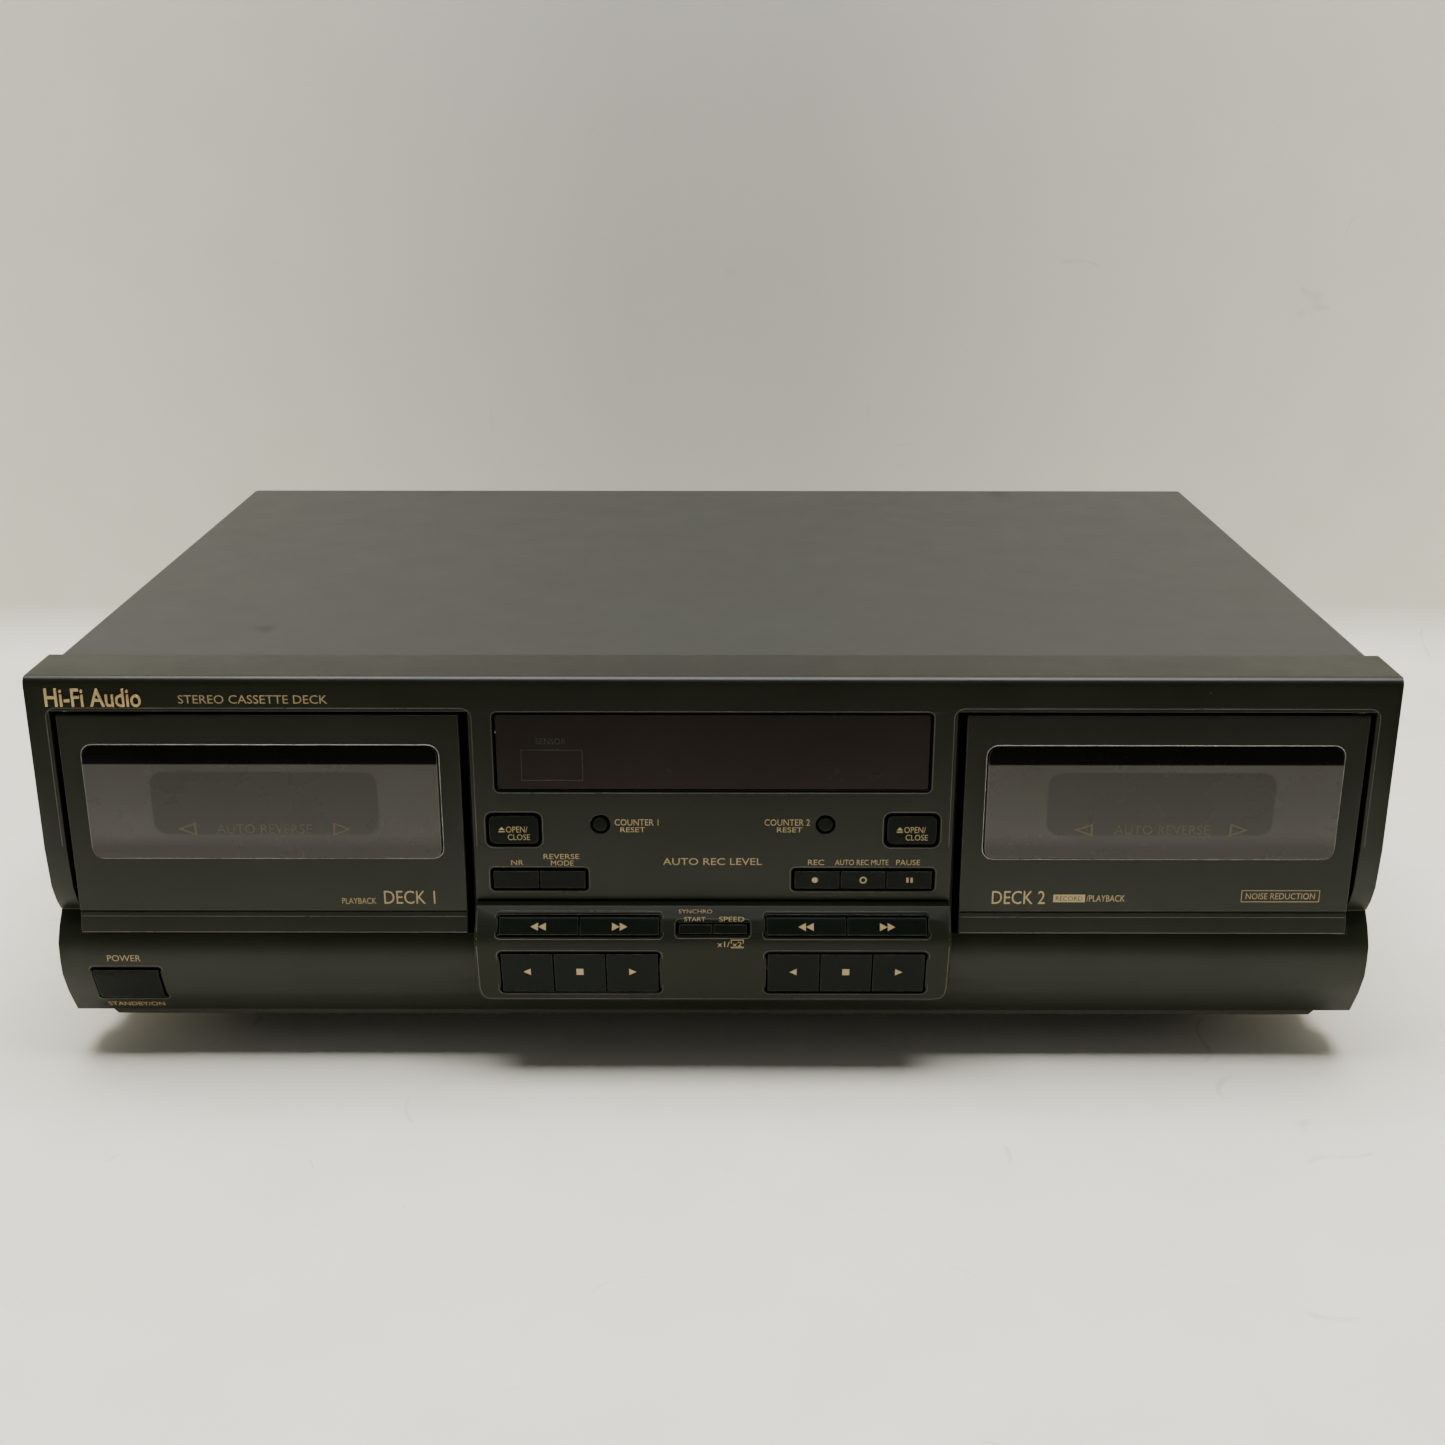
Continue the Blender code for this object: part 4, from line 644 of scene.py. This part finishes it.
# A painted highlight down the transport panel's right side, round its lower corner, and the same mirrored
side = [(75.9, down) for down in np.linspace(77.4, 104.4, 12)] + [(75.4, 106.6), (74.3, 108), (72, 108.4)]
points = side + [(-x, down) for x, down in reversed(side)]
path = np.array([place(x, 0, down) for x, down in points])
path[:, 1] = [hit_depth("transport_panel", px, pz, 1) for px, _, pz in path]
tube_ring("panel_lip", path, LINE, LIP_HIGHLIGHT, BODY, closed=False)
# Painted shade lines in the gaps beside the transport panel
for side, name in ((-1, "left"), (1, "right")):
    path = np.array([place(side * 77.4, 0, down) for down in np.linspace(90, 110, 12)])
    path[:, 1] = [hit_depth("front_fascia", px, pz, 1) for px, _, pz in path]
    tube_ring(f"panel_gap_{name}", path, diamond(0.55, 0.06), GAP_PAINTED_SHADE, BODY, closed=False)
# The painted highlight on the lip round each door's aperture stops at its foot, above the lower body
APERTURE_MIDDLE, APERTURE_DOWN, APERTURE_HALF = 142.3, 50.1, (66.6, 40.0)
APERTURE_CORNER, APERTURE_FOOT = 3.2, 57
for deck, middle in DECKS.items():
    sign = 1 if middle > 0 else -1
    x = sign * APERTURE_MIDDLE
    # The upper half of the path has the first two of its four corners
    path = rounded_path((x, APERTURE_DOWN), APERTURE_HALF, APERTURE_CORNER, 0.0)
    top = path[: len(path) // 2]
    foot = np.array([place(x + side * APERTURE_HALF[0], 0, APERTURE_FOOT) for side in (1, -1)])
    path = np.vstack((foot[:1], top, foot[1:]))
    tube_ring(f"aperture_lip_{deck}", path, LINE, LIP_HIGHLIGHT, BODY, closed=False)

    door = f"door_frame_{deck}"
    low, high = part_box(door)
    # Painted highlight lines along each door's lower edge and along the step above it
    for line, rise in (("foot", 0.35), ("step", 5.6)):  # mm above the door's lower edge
        run = np.linspace(high.x - 0.5 * MM, low.x + 0.5 * MM, 12)
        path = np.array([(x, 0, low.z + rise * MM) for x in run])
        path[:, 1] = [hit_depth(door, px, pz, 1) for px, _, pz in path]
        body = NODES[door]["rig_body"]
        tube_ring(f"door_{line}_line_{deck}", path, FINE_LINE, LIP_HIGHLIGHT, body, closed=False)

REAR = 278  # outer face of the rear panel
UNDERSIDE = 118  # outer face of the base, down
COVER_SIDE = 212.4  # outer face of the cover's side
for name, side in (("left", -1), ("right", 1)):
    places = [(side * COVER_SIDE, back, 92) for back in (62, 250)]
    screw_heads(f"cover_screws_{name}", places, (side, 0, 0), BODY, 4.2)
REAR_SCREWS = ((-196, 20), (196, 20), (-60, 12), (60, 12), (-196, 108), (196, 108), (-100, 62),
               (-140, 62), (40, 108))
screw_heads("rear_screws", [(x, REAR, down) for x, down in REAR_SCREWS], (0, 1, 0), BODY)
BASE_SCREWS = ((-150, 90), (150, 90), (-60, 130), (60, 130), (-150, 210), (150, 210), (0, 258))
screw_heads("base_screws", [(x, back, UNDERSIDE) for x, back in BASE_SCREWS], (0, 0, -1), BODY)

# Nickel-plated shells of the phono sockets, and the coloured rings that tell left from right
SHELL = surface("nickel_plate", "B9B6AD", "A3A097", (0.14, 0.25), 0.3, 0.002, "D8D6CE", 0.3, metal=1.0)
RINGS = {
    "left": surface("white_ring_plastic", "D9D6CC", "CCC9BE", (0.35, 0.45), 0.3, 0.003, "EDEBE4", 0.3),
    "right": surface("red_ring_plastic", "A3231C", "8C1C17", (0.35, 0.45), 0.3, 0.003, "C4564C", 0.3),
}
FLAT_RING = np.array([(0.55, -0.35), (0.55, 0.35), (-0.35, 0.35), (-0.35, -0.35)]) * MM
SHELL_SECTION = np.array([(0.1, -3.4), (0.1, 3.4), (-0.3, 3.4), (-0.3, -3.4)]) * MM
turns = np.linspace(0, 2 * np.pi, 28, endpoint=False)
for column, x in (("in", -127.5), ("out", -112.5)):
    for row, drop in (("left", 54.5), ("right", 69.5)):
        for part, back, reach, section, material in (
            ("ring", REAR + 0.9, 5.0, FLAT_RING, RINGS[row]),
            ("shell", REAR + 4.9, 4.45, SHELL_SECTION, SHELL),
        ):
            circle_x, circle_down = x + reach * np.cos(turns), drop - reach * np.sin(turns)
            path = np.array([place(a, back, b) for a, b in zip(circle_x, circle_down)])
            tube_ring(f"socket_{part}_{column}_{row}", path, section, material, BODY)

REAR_WORDS = (
    ("rear_title", "STEREO CASSETTE DECK", (-40, 40), (20, 25)),
    ("line_in_label", "LINE IN", (-133, -121), (48.5, 51)),
    ("line_out_label", "LINE OUT", (-118, -104), (48.5, 51)),
    ("left_label", "L", (-101, -99), (53, 56)),
    ("right_label", "R", (-101, -99), (68, 71)),
    ("mains_label", "AC IN", (160, 176), (69, 72.5)),
)
for name, text, x, down in REAR_WORDS:
    words(name, text, x, down, "rear_panel", BLACK_PRINT, side=-1)
shape("socket_frame", outline(52, 33, 0.4), (-146, -94), (46, 79), "rear_panel", BLACK_PRINT, side=-1)


# ---------------------------------------------------------------- stage, light and camera
def stage_mesh(name, points, faces, material):
    mesh = bpy.data.meshes.new(name)
    mesh.from_pydata(points, [], faces)
    mesh.update()
    for face in mesh.polygons:
        face.use_smooth = True
    mesh.materials.append(material)
    piece = bpy.data.objects.new(name, mesh)
    bpy.context.scene.collection.objects.link(piece)
    piece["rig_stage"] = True
    return piece


def backdrop():
    """A table top that rises into the wall: flat from front to y = fold, a quarter turn, then upright.

    It is clear from behind, so that the wall doesn't hide the deck's rear.
    """
    front, fold, radius, top = -0.47, 0.3, 0.03, 2.5
    turn = np.linspace(0, np.pi / 2, 16)
    y = np.concatenate(([front], fold + radius * np.sin(turn), [fold + radius]))
    z = np.concatenate(([0.0], radius - radius * np.cos(turn), [top]))
    rows = [[(x, b, c) for x in (-3.5, 3.5)] for b, c in zip(y, z)]
    points = [p for row in rows for p in row]
    faces = [(2 * i, 2 * i + 1, 2 * i + 3, 2 * i + 2) for i in range(len(rows) - 1)]
    # Matt white laminate with faint scuffs, and painted shade in the wall's middle
    laminate = surface("white_laminate", "E5E1D2", "E0DCCC", (0.5, 0.62), 1.5, 0.01, paint=wall_painted_shade_and_scuffs)
    tree = laminate.node_tree
    solid_side = tree.nodes["Principled BSDF"].outputs[0]
    behind = put(tree, "NewGeometry").outputs["Backfacing"]
    clear = put(tree, "BsdfTransparent").outputs[0]
    shown = put(tree, "MixShader", {0: behind, 1: solid_side, 2: clear}).outputs[0]
    tree.links.new(shown, tree.nodes["Material Output"].inputs[0])
    return stage_mesh("backdrop", points, faces, laminate)


def wall_painted_shade_and_scuffs(tree, where, tone):
    """Painted shade makes the wall greyer in its middle than at its sides, and thin scuffs follow the
    contours of a noise.
    """
    axes = put(tree, "SeparateXYZ", {0: where}).outputs
    middle = remap(tree, math_node(tree, "ABSOLUTE", axes[0]), 0.42, 0.05)
    above = remap(tree, axes[2], 0.0, 0.05)
    # BAB7AE is painted shade, darkest in the wall's middle above the table
    tone = mix(tree, math_node(tree, "MULTIPLY", middle, above), tone, colour("BAB7AE"))
    drift = math_node(tree, "ABSOLUTE", math_node(tree, "SUBTRACT", noise(tree, where, 90, 1), 0.5))
    patches = remap(tree, noise(tree, where, 30), 0.6, 0.66)
    scuff = math_node(tree, "MULTIPLY", remap(tree, drift, 0.004, 0.001), patches)
    return mix(tree, math_node(tree, "MULTIPLY", scuff, 0.4), tone, colour("B5AEA0"))


def area_light(name, size, power, where, target, only=None):
    """A rectangular lamp; one that lights only some pieces stands for bounce, and is never seen itself."""
    lamp = bpy.data.lights.new(name, "AREA")
    lamp.shape = "RECTANGLE"
    lamp.size, lamp.size_y = size
    lamp.energy = power
    holder = bpy.data.objects.new(name, lamp)
    holder.location = where
    holder.visible_camera = holder.visible_glossy = only is None
    if only:
        lit = bpy.data.collections.new(name + "_receivers")
        for piece in only:
            lit.objects.link(piece)
        holder.light_linking.receiver_collection = lit
    holder.rotation_euler = (Vector(target) - Vector(where)).to_track_quat("-Z", "Y").to_euler()
    bpy.context.scene.collection.objects.link(holder)


def dark_flag():
    """A black cloth in front of the deck that only reflections see, as if somebody stood at the table."""
    # Matt black woven cloth
    cloth = surface("black_cloth", "0A0A0A", "080808", (0.8, 0.9), 1.0, 0.01, gloss=0.0)
    points = [(x, -0.345, z) for z in (0.0, 0.6) for x in (-0.8, 0.8)]
    card = stage_mesh("dark_flag", points, [(0, 1, 3, 2)], cloth)
    for kind in ("camera", "diffuse", "transmission", "volume_scatter", "shadow"):
        setattr(card, "visible_" + kind, False)


backdrop()
dark_flag()
world = bpy.data.worlds.new("room")
world.use_nodes = True
world.node_tree.nodes["Background"].inputs["Color"].default_value = colour("D9DADA")
world.node_tree.nodes["Background"].inputs["Strength"].default_value = 0.25
bpy.context.scene.world = world
area_light("ceiling_panel", (1.6, 1.2), 98, (0.0, 0.12, 1.6), (0, 0, 0))
area_light("table_bounce", (0.9, 0.05), 1.0, (0.0, -0.265, 0.03), (0, -0.13, 0.05), only=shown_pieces())

lens_data = bpy.data.cameras.new("camera")
lens_data.lens = 44.69
lens_data.sensor_width = 36
camera = bpy.data.objects.new("camera", lens_data)
camera.location = (0.0041, -0.668, 0.3073)  # m
camera.rotation_euler = (math.radians(90 - 19.33), math.radians(-0.025), math.radians(0.122))
bpy.context.scene.collection.objects.link(camera)
bpy.context.scene.camera = camera
